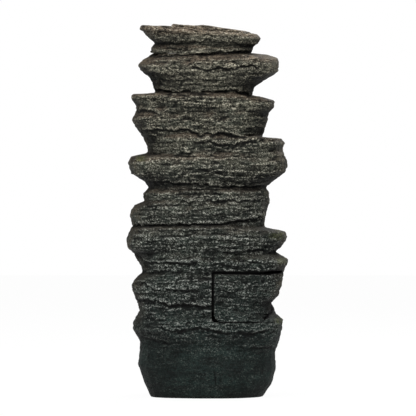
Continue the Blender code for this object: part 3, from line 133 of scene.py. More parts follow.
# The joints between the slabs on the back: (strength, points as (x, height))
JOINTS = (
    (0.6, ((-0.127, 0.943), (-0.046, 0.954), (0.007, 0.957), (0.080, 0.948), (0.134, 0.950))),
    (1.0, ((-0.119, 0.925), (-0.028, 0.924), (0.048, 0.918), (0.147, 0.914))),
    (0.8, (
        (-0.132, 0.884), (-0.100, 0.890), (-0.073, 0.880),
        (-0.028, 0.884), (0.010, 0.878), (0.034, 0.886),
    )),
    (0.5, ((0.091, 0.864), (0.112, 0.870), (0.158, 0.868))),
    (1.0, ((-0.119, 0.805), (-0.073, 0.824), (0.021, 0.817), (0.083, 0.817), (0.144, 0.825))),
    (0.6, ((0.128, 0.758), (0.169, 0.770), (0.193, 0.766))),
    (1.0, ((-0.106, 0.699), (-0.030, 0.711), (0.021, 0.706), (0.064, 0.719), (0.182, 0.714))),
    (0.8, ((-0.146, 0.694), (-0.073, 0.681), (-0.030, 0.677), (-0.005, 0.687), (0.032, 0.681))),
    (0.5, ((0.048, 0.657), (0.112, 0.650), (0.161, 0.653))),
    (1.0, ((-0.162, 0.565), (-0.030, 0.565), (0.038, 0.571), (0.088, 0.577), (0.169, 0.577))),
    (0.5, ((-0.165, 0.532), (-0.122, 0.528), (0.021, 0.527), (0.088, 0.521), (0.144, 0.516))),
    (1.0, ((-0.154, 0.481), (-0.103, 0.479), (-0.036, 0.467), (0.083, 0.466), (0.201, 0.459))),
    (0.8, ((0.032, 0.367), (0.104, 0.360), (0.166, 0.361), (0.198, 0.389))),
    (0.8, ((-0.183, 0.391), (-0.128, 0.398), (-0.097, 0.394), (-0.041, 0.391))),
    (0.6, ((0.069, 0.338), (0.134, 0.336), (0.177, 0.335))),
    (0.6, ((0.034, 0.285), (0.107, 0.288), (0.139, 0.289), (0.177, 0.309))),
    (1.0, ((-0.009, 0.248), (0.097, 0.249), (0.128, 0.258), (0.159, 0.263), (0.190, 0.260))),
    (0.8, ((-0.162, 0.181), (-0.073, 0.175), (0.032, 0.187), (0.083, 0.179), (0.123, 0.189))),
    (0.5, ((0.099, 0.150), (0.144, 0.155), (0.179, 0.162))),
    (0.5, ((-0.183, 0.129), (-0.159, 0.136), (-0.114, 0.135))),
)
JOINT_RAGGED = ((0.0046, 0.017, 21), (0.0030, 0.007, 22))  # (height, size, seed)
JOINT_BACK = (0.0, 0.03)  # the joints fade in between these distances behind the axis
JOINT_ENDS = (-0.014, 0.006)  # a joint fades in between these distances inside its ends
JOINT_ABOVE, JOINT_BELOW = 0.0020, 0.0062  # how far the groove reaches on either side of its line
JOINT_SLOPE = 1.6  # the groove's lower side is steeper with a higher number
JOINT_DEPTH = 0.0070
LIP_HEIGHT = 0.0024
LIP_RISE, LIP_WIDTH = 0.0055, 0.0032
UNDERCUT_REACH = 0.018  # how far up an overhang is looked for
FLAT_FOOT = 0.010  # points rise and sink less below this height, and the underside stays flat
SMOOTH_BASE = (0.10, 0.20)  # the base is smooth below the first height, rough above the second
BASE_ROUGHNESS = 0.30
SIDE_CALM = 0.45  # how much of the relief is lost on the tower's left and right flanks
GAP_SHADOW_REACH = 0.0030  # how far the painted black shadow round the door reaches from the gap
GAPS = (0.0002, 0.0045, 0.0062)  # the gap at the door's foot, beside it and above it
GAP_BLEND = (0.004, 0.012)  # how far from the door's foot and top the gap changes its width
TOP_EDGE_RISE = 0.004  # how far the top slab's back edge rises, between left tip and crown stone
CROWN_SETTLE = 0.002  # how far the crown stone sinks into the slab's edge
TOP_EDGE_FROM, TOP_EDGE_TO = (0.0, 0.09), (0.11, 0.175)  # the rise fades in and out here, along x
TOP_EDGE_BACK, TOP_EDGE_HEIGHT = (0.0, 0.02), (0.960, 0.978)
SPOUT = (0.015, 0.075)
SPOUT_CLEARING = (0.018, 0.030)  # the dish stays smooth this near to the spout

# What the finish reads from the shape
RIDGE_RANGE = 0.0012
STAND_RANGE = 0.0060
FACING_ROUNDS = 4
STAND_ROUNDS = 12  # how often the surface is evened out to see what stands proud of it
ON_SIDE = (-0.020, -0.010)  # a point on the tower's side is this near to the outside's radius
SIDE_TOP = (0.952, 0.968)  # the shade under ledges fades out between these heights
# the painted shadow under an overhang and the painted shade in a recess grow over these depths
UNDERCUT = (0.003, 0.018)
RECESS = (0.004, 0.034)
SEAM_WASH = 0.7  # how dark the mould's seam is, as a share of a joint

# The seams that the mould left down the middle of the back, with their ends as (x, height)
MOULD_SEAMS = (((0.009, 0.352), (-0.002, 0.460)), ((-0.020, 0.030), (-0.017, 0.085)))
MOULD_SEAM_DEPTH = 0.0020
MOULD_SEAM_WIDTH = 0.0018
MOULD_SEAM_FADE = 0.25  # the share of its length over which a seam fades at either end
SEAM_WANDER = ((0.0030, 0.022, 9), (0.0012, 0.007, 14))  # (depth, size, seed)
SEAM_BREAKS = (0.016, 15)  # (size, seed)
SEAM_BREAK_EDGE = (-0.7, 0.1)  # gone below the first level of that noise, whole above the second

# Where moss tints the back: (x, height, radius)
MOSS = (
    (-0.185, 0.434, 0.026), (-0.195, 0.366, 0.020),
    (-0.195, 0.206, 0.022), (0.178, 0.640, 0.020),
)
MOSS_FLATTENED = 1.6  # a patch is this much wider than it is high
MOSS_RAGGED = (0.006, 0.012, 16)  # (reach, size, seed)
FULL_SHARE = 0.3  # moss and the painted black shadow round the door are full over this share of their reach

# The stage and the light
WHITE = (1.0, 1.0, 1.0, 1.0)
FLOOR_SIZE = 8.0
FLOOR_DROP = 0.0005
FLOOR_WHITE = 0.97  # the share of plain white that the camera sees on the floor
WORLD_STRENGTH = 0.42
LIGHT_AIM = (0.0, 0.0, 0.5)
LIGHTS = (  # name, place, size, power
    ("key_above_back", (1.1, 2.8, 3.4), 1.4, 76),
    ("fill_front", (-1.2, -2.8, 3.0), 2.0, 84),
    ("top", (0.0, 0.2, 3.6), 1.6, 84),
)


# Noise

def scrambled(cells, seed):
    """A number from 0 to 1 for each lattice cell, the same each run."""
    grid = cells.astype(np.int64).astype(np.uint32)
    mixed = grid[:, 0] * np.uint32(374761393) + grid[:, 1] * np.uint32(668265263)
    mixed = mixed + grid[:, 2] * np.uint32(2246822519) + np.uint32(seed * 3266489917 % 2**32)
    mixed = (mixed ^ (mixed >> np.uint32(13))) * np.uint32(1274126177)
    mixed = (mixed ^ (mixed >> np.uint32(15))) * np.uint32(2654435761)
    return (mixed ^ (mixed >> np.uint32(16))) / 2.0**32


def noise(points, size, seed):
    """Smooth noise from -1 to 1. size is the width of its features along x, y and z."""
    spots = points / np.array(size)
    cells = np.floor(spots)
    part = spots - cells
    part = part * part * (3 - 2 * part)
    total = np.zeros(len(points))
    for corner in np.ndindex(2, 2, 2):
        share = np.prod(np.where(corner, part, 1 - part), axis=1)
        total += share * scrambled(cells + corner, seed)
    return 2 * total - 1


def eased(value, low, high):
    """0 below low, 1 above high, with a smooth rise between."""
    share = np.clip((value - low) / (high - low), 0.0, 1.0)
    return share * share * (3 - 2 * share)


# The tower's own shape, read from the frame's solids

class Tower:
    """The radii of the tower's outside and hollow, over a grid of heights and turns."""

    def __init__(self):
        joined = bmesh.new()
        for name in ROCK_NODES:
            joined.from_mesh(frame["nodes"][name].data)
        solid = BVHTree.FromBMesh(joined)
        joined.free()
        self.heights = np.arange(HEIGHT_STEP / 2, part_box("top_slab")[1].z, HEIGHT_STEP)
        self.turns = np.arange(TURNS) * 2 * math.pi / TURNS
        self.outside = np.array([self.ring(solid, z, True) for z in self.heights])
        self.hollow = np.array([self.ring(solid, z, False) for z in self.heights])
        self.hollow[self.heights > HOLLOW_TOP] = 0.0
        # recesses and overhangs, for the painted shade and shadow
        self.recess = self.behind(-RECESS_REACH, RECESS_REACH)
        self.undercut = self.behind(0.0, UNDERCUT_REACH)

    def ring(self, solid, height, from_outside):
        """The radii at a height.

        Where a ray slips through the door's gap, the neighbours' radii count.
        """
        found = []
        for turn in self.turns:
            outward = Vector((math.cos(turn), math.sin(turn), 0.0))
            axis = Vector((0.0, 0.0, height))
            if from_outside:
                hit = solid.ray_cast(axis + RAY_START * outward, -outward, RAY_START)
                found.append(RAY_START - hit[3] if hit[0] else np.nan)
            else:
                hit = solid.ray_cast(axis, outward, RAY_START)
                found.append(hit[3] if hit[0] else np.nan)
        found = np.array(found)
        known = ~np.isnan(found)
        if not known.any():
            return np.zeros(TURNS)
        return np.interp(self.turns, self.turns[known], found[known], period=2 * math.pi)

    def behind(self, lowest, highest):
        """How far the outside lies behind its furthest reach between two heights near it."""
        first, last = round(lowest / HEIGHT_STEP), round(highest / HEIGHT_STEP)
        rows = np.arange(len(self.outside))
        near = [self.outside[np.clip(rows + step, 0, rows[-1])] for step in range(first, last + 1)]
        return np.max(near, axis=0) - self.outside

    def sample(self, grid, points):
        """The grid's value at each point's height and turn."""
        rows = np.clip(points[:, 2] / HEIGHT_STEP - 0.5, 0, len(self.heights) - 1.001)
        turns = np.arctan2(points[:, 1], points[:, 0]) % (2 * math.pi) / (2 * math.pi) * TURNS
        row, turn = np.floor(rows).astype(int), np.floor(turns).astype(int)
        up, on = rows - row, turns - turn
        first, after = turn % TURNS, (turn + 1) % TURNS
        low = grid[row, first] * (1 - on) + grid[row, after] * on
        high = grid[row + 1, first] * (1 - on) + grid[row + 1, after] * on
        return low * (1 - up) + high * up


# Breaking the rock into strata

def stratum_levels():
    """The heights of the joints between the strata."""
    random = np.random.default_rng(STRATA_SEED)
    return STRATA_START + np.cumsum(random.uniform(*STRATUM_THICKNESS, STRATA_COUNT))


def ridges(points, size, seed):
    """Sharp crests between smooth hollows, from -1 to 1."""
    return 1 - 2 * np.abs(noise(points, size, seed))


def front_at(points):
    """How far forward on the front's courses each point lies, from 0 to 1."""
    return eased(-points[:, 1], *FRONT_DEPTH) * eased(points[:, 2], *FRONT_HEIGHT)


def strata_levels_at(points):
    """Each point's height, as the tilted and wavy strata count it."""
    heights, leans = zip(*LEAN)
    level = points[:, 2] - np.interp(points[:, 2], heights, leans) * points[:, 0] / HALF_WIDTH
    for depth, size, seed in WAVES:
        level += depth * noise(points, size, seed)
    return level


def strata_shift(points):
    """How far each point of the rock is pushed out by the strata, in metres."""
    level = strata_levels_at(points)
    levels = stratum_levels()
    layer = np.searchsorted(levels, level)
    low, high = levels[layer - 1], levels[layer]
    share = (level - low) / (high - low)
    flat = points * (1, 1, 0) + layer[:, None] * (0, 0, 1)
    wide = WIDE_LAYERS[0] * noise(flat, *WIDE_LAYERS[1:])
    broken = BREAKS * noise(flat, *BROKEN_LAYERS[1:])
    broken = (np.floor(broken) + eased(broken % 1.0, *BREAK_EDGE)) / BREAKS
    crumbs = CRUMBS[0] * noise(flat, *CRUMBS[1:])
    gain = 1 + FRONT_GAIN * front_at(points)
    shift = LAYER_SHIFT * (wide + BROKEN_LAYERS[0] * broken + crumbs) * gain
    shift += LAYER_BULGE * (1 - 2 * np.abs(2 * share - 1) ** 3)
    bend, bend_size, seeds = BENDS
    bent = points + bend * np.stack([noise(points, (bend_size,) * 3, seed) for seed in seeds], 1)
    relief = sum(part * ridges(bent, size, seed) for part, size, seed in RELIEF)
    return shift + RELIEF_SHIFT * (relief - RELIEF_MIDDLE)


def joint_at(points):
    """How deep each point lies in a joint between slabs, and how near to its upper lip: 0 to 1."""
    ragged = sum(height * noise(points, (size,) * 3, seed) for height, size, seed in JOINT_RAGGED)
    back = eased(points[:, 1], *JOINT_BACK)
    joint, lip = np.zeros(len(points)), np.zeros(len(points))
    for strength, line in JOINTS:
        places, heights = zip(*line)
        rise = points[:, 2] + ragged - np.interp(points[:, 0], places, heights)
        inside = eased(points[:, 0] - places[0], *JOINT_ENDS)
        inside *= eased(places[-1] - points[:, 0], *JOINT_ENDS)
        above = np.exp(-((rise / JOINT_ABOVE) ** 2))
        below = np.exp(-((np.abs(rise) / JOINT_BELOW) ** JOINT_SLOPE))
        here = strength * inside * back
        joint = np.maximum(joint, here * np.where(rise > 0, above, below))
        lip = np.maximum(lip, here * np.exp(-(((rise - LIP_RISE) / LIP_WIDTH) ** 2)))
    return joint, lip


def flank_at(points):
    """How far round to the tower's left or right side each point lies, from 0 to 1."""
    radii = np.maximum(np.hypot(points[:, 0], points[:, 1]), LEAST_RADIUS)
    return eased(np.abs(points[:, 0]) / radii, *FLANK)


def roughness_at(points):
    """The base is a smoother casting than the slabs above it, and the flanks are worn rounder."""
    base = BASE_ROUGHNESS + (1 - BASE_ROUGHNESS) * eased(points[:, 2], *SMOOTH_BASE)
    return base * (1 - SIDE_CALM * flank_at(points))


def mould_seam(points):
    """How deep each point lies in the seam that the mould left down the back: 0 to 1."""
    wander = sum(depth * noise(points, (1.0, 1.0, size), seed) for depth, size, seed in SEAM_WANDER)
    size, seed = SEAM_BREAKS
    broken = eased(noise(points, (1.0, 1.0, size), seed), *SEAM_BREAK_EDGE)
    seam = np.zeros(len(points))
    for (low_x, low), (high_x, high) in MOULD_SEAMS:
        across = points[:, 0] - np.interp(points[:, 2], (low, high), (low_x, high_x)) - wander
        fade = MOULD_SEAM_FADE * (high - low)
        along = eased(points[:, 2], low, low + fade) * (1 - eased(points[:, 2], high - fade, high))
        seam += np.exp(-((across / MOULD_SEAM_WIDTH) ** 2)) * along
    return seam * broken * (points[:, 1] > 0)


def moss_at(points):
    """How mossy each point of the back is, from 0 to 1."""
    reach, size, seed = MOSS_RAGGED
    ragged = reach * noise(points, (size,) * 3, seed)
    moss = np.zeros(len(points))
    for x, height, radius in MOSS:
        away = np.hypot(points[:, 0] - x, MOSS_FLATTENED * (points[:, 2] - height))
        moss = np.maximum(moss, 1 - eased(away + ragged, FULL_SHARE * radius, radius))
    return moss


def broken_up(points, tower):
    """A rock piece's points with its surface broken into strata, and what the finish needs there.

    The side that faces the tower's hollow stays as it is.
    """
    radii = np.hypot(points[:, 0], points[:, 1])
    wall = radii - tower.sample(tower.hollow, points)
    from_spout = np.hypot(points[:, 0] - SPOUT[0], points[:, 1] - SPOUT[1])
    strength = eased(wall, 0.0, WALL) * eased(from_spout, *SPOUT_CLEARING)
    joint, lip = joint_at(points)
    seam = mould_seam(points)
    shift = roughness_at(points) * strata_shift(points) - MOULD_SEAM_DEPTH * seam
    shift += LIP_HEIGHT * lip - JOINT_DEPTH * joint
    most_outward = MOST_OUTWARD + (FRONT_MOST_OUTWARD - MOST_OUTWARD) * front_at(points)
    shift = strength * np.clip(shift, -MOST_INWARD, most_outward)
    lift = VERTICAL_SHIFT * sum(part * noise(points, size, seed) for part, size, seed in LIFTS)
    lift *= strength * eased(points[:, 2], 0.0, FLAT_FOOT)
    outward = points * (1, 1, 0) / np.maximum(radii, LEAST_RADIUS)[:, None]
    moved = points + outward * shift[:, None] + lift[:, None] * (0, 0, 1)
    painted = eased(wall, *PAINTED_WALL)
    on_side = eased(radii - tower.sample(tower.outside, points), *ON_SIDE)
    on_side *= 1 - eased(points[:, 2], *SIDE_TOP)
    wash_and_shade = {
        "outside": painted,
        "joint": painted * np.maximum(joint, SEAM_WASH * seam),
        "flank": flank_at(points),
        "moss": moss_at(points),
        "lip": painted * lip,
        # painted shadow under overhangs and painted shade in recesses, on the tower's side
        "undercut": on_side * eased(tower.sample(tower.undercut, points), *UNDERCUT),
        "recess": on_side * eased(tower.sample(tower.recess, points), *RECESS),
    }
    return moved, wash_and_shade


def near_gap(points, node):
    """How close each point lies to the gap between its piece and another node: 0 to 1."""
    other = bmesh.new()
    other.from_mesh(frame["nodes"][node].data)
    solid = BVHTree.FromBMesh(other)
    other.free()
    far = GAPS[-1] + 2 * GAP_SHADOW_REACH
    away = [solid.find_nearest(Vector(point), far)[3] for point in points]
    away = np.array([far if value is None else value for value in away])
    foot, head = [corner.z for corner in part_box("access_door")]
    gap = GAPS[0] + (GAPS[1] - GAPS[0]) * eased(points[:, 2] - foot, *GAP_BLEND)
    gap += (GAPS[2] - GAPS[1]) * (1 - eased(head - points[:, 2], *GAP_BLEND))
    return 1 - eased(away - gap, FULL_SHARE * GAP_SHADOW_REACH, GAP_SHADOW_REACH)


def over_seam(points):
    """A shell with its flat edge moved over the seam, where it is bonded to the other shell."""
    side = np.sign(points[:, 1].sum())
    near = 1 - eased(np.abs(points[:, 1]), 0.0, SEAM_REACH)
    return points - (side * SEAM_OVERLAP * near)[:, None] * (0, 1, 0)


def raised_edge(points):
    """The top slab with its back edge raised, level from its left tip and up to the crown stone."""
    between = eased(points[:, 0], *TOP_EDGE_FROM) * (1 - eased(points[:, 0], *TOP_EDGE_TO))
    rise = (TOP_EDGE_RISE * between + CROWN_SETTLE) * eased(points[:, 1], *TOP_EDGE_BACK)
    return points + (rise * eased(points[:, 2], *TOP_EDGE_HEIGHT))[:, None] * (0, 0, 1)


# Mesh helpers

def coordinates(mesh):
    """The mesh's points as rows of x, y and z."""
    flat = np.empty(3 * len(mesh.vertices), np.float32)
    mesh.vertices.foreach_get("co", flat)
    return flat.reshape(-1, 3).astype(float)


def neighbour_mean(values, ends, count):
    """The mean of values over each point's neighbours along the edges."""
    total = np.zeros(values.shape)
    for here, there in (ends, ends[::-1]):
        for axis in range(values.shape[1]):
            total[:, axis] += np.bincount(here, values[there, axis], len(values))
    return total / count[:, None]


def point_attribute(mesh, name, values):
    """Stores a number for each point, which materials can read by its name."""
    attribute = mesh.attributes.new(name, "FLOAT", "POINT")
    attribute.data.foreach_set("value", values.astype(np.float32))


def apply_modifiers(obj):
    """Gives the object the mesh that its modifiers make, under the same name."""
    before, name = obj.data, obj.data.name
    depsgraph = bpy.context.evaluated_depsgraph_get()
    obj.data = bpy.data.meshes.new_from_object(obj.evaluated_get(depsgraph))
    obj.modifiers.clear()
    bpy.data.meshes.remove(before)
    obj.data.name = name


def fill_thin_walls(bm):
    """Fills out thin walls on the side that faces in or down, so that evening out keeps them."""
    bmesh.ops.subdivide_edges(bm, edges=bm.edges, cuts=WALL_CUTS, use_grid_fill=True)
    bmesh.ops.triangulate(bm, faces=bm.faces)
    bm.normal_update()
    solid = BVHTree.FromBMesh(bm)
    moves = []
    for vertex in bm.verts:
        normal = vertex.normal.copy()
        outward = Vector((vertex.co.x, vertex.co.y, 0.0)).normalized()
        if vertex.co.z < THIN_WALL_START or abs(vertex.co.y) < SEAM_REACH:
            continue
        if normal.dot(outward) > INWARD and normal.z > DOWNWARD:
            continue
        wall = solid.ray_cast(vertex.co - BELOW_SURFACE * normal, -normal, LEAST_WALL)[3]
        if wall is not None:
            moves.append((vertex, (LEAST_WALL - wall) * normal))
    for vertex, move in moves:
        vertex.co += move


def patch_pool(bm):
    """Closes the slit at the second pool's -X end, where that pool breaks into the hollow."""
    low, high = Vector(POOL_PATCH[0]), Vector(POOL_PATCH[1])
    place = Matrix.Translation((low + high) / 2) @ Matrix.Diagonal((*(high - low), 1.0))
    bmesh.ops.create_cube(bm, size=1.0, matrix=place)


def simpler_hollow(obj, hollow_points):
    """Thins out the faces of a shell on the hollow's side, which is seen only through the door."""
    group = obj.vertex_groups.new(name="hollow")
    group.add(hollow_points.tolist(), 1.0, "REPLACE")
    share = len(hollow_points) / len(obj.data.vertices)
    reduce = obj.modifiers.new("reduce", "DECIMATE")
    reduce.ratio = 1 - share * (1 - HOLLOW_KEPT)
    reduce.vertex_group = group.name
    apply_modifiers(obj)
    obj.vertex_groups.clear()


def even_copy(name, node, voxel):
    """A new object with the node's shape in small even faces."""
    bm = bmesh.new()
    bm.from_mesh(frame["nodes"][node].data)
    bmesh.ops.remove_doubles(bm, verts=bm.verts, dist=WELD)
    if node == "front_shell":
        fill_thin_walls(bm)
        patch_pool(bm)
    mesh = bpy.data.meshes.new(name)
    bm.to_mesh(mesh)
    bm.free()
    obj = bpy.data.objects.new(name, mesh)
    bpy.context.scene.collection.objects.link(obj)
    remesh = obj.modifiers.new("even", "REMESH")
    remesh.mode = "VOXEL"
    remesh.voxel_size = voxel
    apply_modifiers(obj)
    return obj


def relief_attributes(mesh, smooth, points):
    """Stores where the surface is a ridge, stands proud of its smooth form or faces up."""
    edges = np.empty(2 * len(mesh.edges), np.int32)
    mesh.edges.foreach_get("vertices", edges)
    ends = edges.reshape(-1, 2).T
    count = np.maximum(np.bincount(ends.ravel(), minlength=len(points)), 1)
    normals = np.empty(3 * len(points), np.float32)
    mesh.vertices.foreach_get("normal", normals)
    normals = normals.reshape(-1, 3).astype(float)
    ridge = ((points - neighbour_mean(points, ends, count)) * normals).sum(1, keepdims=True)
    ridge = 0.5 * ridge + 0.5 * neighbour_mean(ridge, ends, count)
    facing = normals
    for _ in range(FACING_ROUNDS):
        facing = neighbour_mean(facing, ends, count)
    shift = ((points - smooth) * facing).sum(1, keepdims=True)
    level = shift
    for _ in range(STAND_ROUNDS):
        level = neighbour_mean(level, ends, count)
    stand = shift - level
    point_attribute(mesh, "ridge", np.clip(0.5 + ridge[:, 0] / RIDGE_RANGE, 0, 1))
    point_attribute(mesh, "stand", np.clip(0.5 + stand[:, 0] / STAND_RANGE, 0, 1))
    point_attribute(mesh, "facing_up", np.clip(0.5 + 0.5 * facing[:, 2], 0, 1))


def rock_piece(name, node, body, voxel, tower, finish, shaped=None, beside=None):
    """Replaces a rock node by its broken-up form. shaped moves its smooth points before that.

    The edge beside another node, across a gap, gets a painted black shadow.
    """
    obj = even_copy(name, node, voxel)
    mesh = obj.data
    smooth = coordinates(mesh) if shaped is None else shaped(coordinates(mesh))
    points, wash_and_shade = broken_up(smooth, tower)
    mesh.vertices.foreach_set("co", points.astype(np.float32).ravel())
    mesh.update()
    mesh.shade_smooth()
    relief_attributes(mesh, smooth, points)
    # a painted black shadow beside the door's gap
    wash_and_shade["gap"] = near_gap(smooth, beside) if beside else np.zeros(len(points))
    for attribute, values in wash_and_shade.items():
        point_attribute(mesh, attribute, values)
    mesh.materials.append(finish)
    if node.endswith("shell"):
        simpler_hollow(obj, np.nonzero(wash_and_shade["outside"] == 0)[0])
    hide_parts(node)
    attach(obj, body)
    return obj


# Materials

def srgb(red, green, blue):
    """A colour as it looks on a screen, from 0 to 255, as the linear colour that shaders take."""
    linear = []
    for value in (red / 255, green / 255, blue / 255):
        linear.append(value / 12.92 if value <= 0.04045 else ((value + 0.055) / 1.055) ** 2.4)
    return (*linear, 1.0)


class Recipe:
    """A procedural material under construction."""

    def __init__(self, name):
        self.material = bpy.data.materials.new(name)
        self.material.use_nodes = True
        self.tree = self.material.node_tree
        self.shader = self.tree.nodes["Principled BSDF"]
        self.place = self.tree.nodes.new("ShaderNodeTexCoord").outputs["Object"]

    def feed(self, socket, value):
        if isinstance(value, bpy.types.NodeSocket):
            self.tree.links.new(value, socket)
        else:
            socket.default_value = value

    def warped(self, reach, scale):
        """The place in space, pushed about by noise so that no line runs straight."""
        texture = self.tree.nodes.new("ShaderNodeTexNoise")
        self.feed(texture.inputs["Vector"], self.place)
        texture.inputs["Scale"].default_value = scale
        texture.inputs["Detail"].default_value = 1.0
        push = self.tree.nodes.new("ShaderNodeVectorMath")
        push.operation = "MULTIPLY_ADD"
        self.feed(push.inputs[0], texture.outputs["Color"])
        push.inputs[1].default_value = (2 * reach,) * 3
        self.feed(push.inputs[2], self.place)
        return push.outputs["Vector"]

    def noise(self, scale, stretch=(1, 1, 1), detail=2.0, roughness=0.5, place=None):
        """Noise with scale features a metre; stretch squeezes the features along each axis."""
        mapping = self.tree.nodes.new("ShaderNodeMapping")
        self.feed(mapping.inputs["Vector"], place or self.place)
        mapping.inputs["Scale"].default_value = stretch
        texture = self.tree.nodes.new("ShaderNodeTexNoise")
        self.feed(texture.inputs["Vector"], mapping.outputs["Vector"])
        texture.inputs["Scale"].default_value = scale
        texture.inputs["Detail"].default_value = detail
        texture.inputs["Roughness"].default_value = roughness
        return texture.outputs["Factor"] if "Factor" in texture.outputs else texture.outputs["Fac"]

    def attribute(self, name):
        node = self.tree.nodes.new("ShaderNodeAttribute")
        node.attribute_name = name
        return node.outputs["Fac"]

    def height(self):
        split = self.tree.nodes.new("ShaderNodeSeparateXYZ")
        self.feed(split.inputs["Vector"], self.place)
        return split.outputs["Z"]

    def seen_straight(self):
        """1 where the camera sees the surface itself, or in a reflection or through glass."""
        path = self.tree.nodes.new("ShaderNodeLightPath")
        seen = self.maths("MAXIMUM", path.outputs["Is Camera Ray"], path.outputs["Is Glossy Ray"])
        return self.maths("MAXIMUM", seen, path.outputs["Is Transmission Ray"])

    def ramp(self, value, low, high, start=0.0, end=1.0):
        node = self.tree.nodes.new("ShaderNodeMapRange")
        node.interpolation_type = "SMOOTHSTEP"
        self.feed(node.inputs["Value"], value)
        sockets = ("From Min", "From Max", "To Min", "To Max")
        for socket, number in zip(sockets, (low, high, start, end)):
            node.inputs[socket].default_value = number
        return node.outputs["Result"]

    def maths(self, operation, *values):
        node = self.tree.nodes.new("ShaderNodeMath")
        node.operation = operation
        for socket, value in zip(node.inputs, values):
            self.feed(socket, value)
        return node.outputs["Value"]

    def from_middle(self, value):
        """How far a noise is from its middle value, 0.5."""
        return self.maths("ABSOLUTE", self.maths("SUBTRACT", value, 0.5))

    def less(self, value, where, share):
        """The value, reduced by a share of itself where another value is 1."""
        kept = self.maths("SUBTRACT", 1.0, self.maths("MULTIPLY", where, share))
        return self.maths("MULTIPLY", value, kept)

    def blend(self, share, first, second):
        """A number between two others."""
        return self.maths("MULTIPLY_ADD", share, self.maths("SUBTRACT", second, first), first)

    def mix(self, share, first, second):
        node = self.tree.nodes.new("ShaderNodeMix")
        node.data_type = "RGBA"
        self.feed(node.inputs[0], share)
        self.feed(node.inputs[6], first)
        self.feed(node.inputs[7], second)
        return node.outputs[2]

    def bump(self, height, depth):
        node = self.tree.nodes.new("ShaderNodeBump")
        node.inputs["Distance"].default_value = depth
        node.inputs["Strength"].default_value = 1.0
        self.feed(node.inputs["Height"], height)
        self.feed(self.shader.inputs["Normal"], node.outputs["Normal"])

    def finish(self, colour, roughness, metallic=0.0, specular=0.5):
        self.feed(self.shader.inputs["Base Color"], colour)
        self.feed(self.shader.inputs["Roughness"], roughness)
        self.shader.inputs["Metallic"].default_value = metallic
        self.shader.inputs["Specular IOR Level"].default_value = specular
        return self.material


UNEVEN_SHINE = 0.06  # how far a moulded surface's roughness varies either way

# The slate's colours
SLATE_COOL, SLATE_WARM = srgb(84, 86, 76), srgb(101, 99, 86)
PALE_TOP = srgb(138, 135, 119)
LIT_TREAD_BROWN = srgb(112, 96, 80)
BASE_GREEN = srgb(26, 43, 41)
FLANK_BROWN = srgb(82, 73, 58)
MOSS_GREEN = srgb(92, 98, 54)
BROAD_DARK_PATCH = srgb(12, 14, 14)
HOLLOW_SHADE_DARK = srgb(9, 11, 10)
GRAIN_DARK = srgb(8, 10, 10)
SET_BACK_SHADE_DARK = srgb(7, 9, 9)
SHADE_DARK = srgb(17, 19, 19)
CRACK_AND_SHADOW_DARK = srgb(7, 8, 8)
JOINT_AND_SHADOW_DARK = srgb(6, 7, 7)
GAP_SHADOW_BLACK = srgb(4, 4, 4)
BARE_SHADED_INSIDE = srgb(20, 21, 21)
PAINT_WARM, PAINT_COOL = srgb(218, 212, 190), srgb(200, 204, 197)


class SlatePatterns:
    """The noises that the slate's colour, paint and bumps share."""

    def __init__(self, recipe):
        bent = recipe.warped(0.0035, 90)
        self.broad = recipe.noise(11, (1, 1, 2.0), 2.0)
        self.wide = recipe.noise(24, (1, 1, 1.8), 3.0)
        self.other = recipe.noise(33, (1, 1, 1.4), 2.0, 0.5, bent)
        self.worms = recipe.noise(150, (1, 1, 1.7), 4.0, 0.62, bent)
        beds = recipe.noise(62, (1, 1, 5.0), 4.0, 0.66, recipe.warped(0.0022, 50))
        bedded = recipe.ramp(recipe.height(), 0.80, 0.60, 0.20, 0.50)
        bedded = recipe.maths("ADD", bedded, recipe.ramp(self.other, 0.4, 0.6, -0.2, 0.2))
        self.relief = recipe.blend(bedded, self.worms, beds)
        self.grain = recipe.noise(235, (1, 1, 1.3), 2.5, 0.62, bent)
        threads = recipe.noise(170, (1, 1, 1.6), 2.5, 0.60, bent)
        self.threads = recipe.ramp(recipe.from_middle(threads), 0.034, 0.006)
        cracks = recipe.noise(40, (1, 1, 4.5), 4.0, 0.60, bent)
        cracks = recipe.ramp(recipe.from_middle(cracks), 0.030, 0.004)
        self.cracks = recipe.maths("MULTIPLY", cracks, recipe.ramp(self.other, 0.34, 0.54))
        # faces that turn up, and the slab's top: brown, with painted light from above
        lit_treads = recipe.ramp(recipe.attribute("facing_up"), 0.52, 0.80)
        self.lit_treads = recipe.maths("MAXIMUM", lit_treads, recipe.ramp(recipe.height(), 0.960, 0.982))
        self.stand = recipe.attribute("stand")
        self.flank = recipe.attribute("flank")


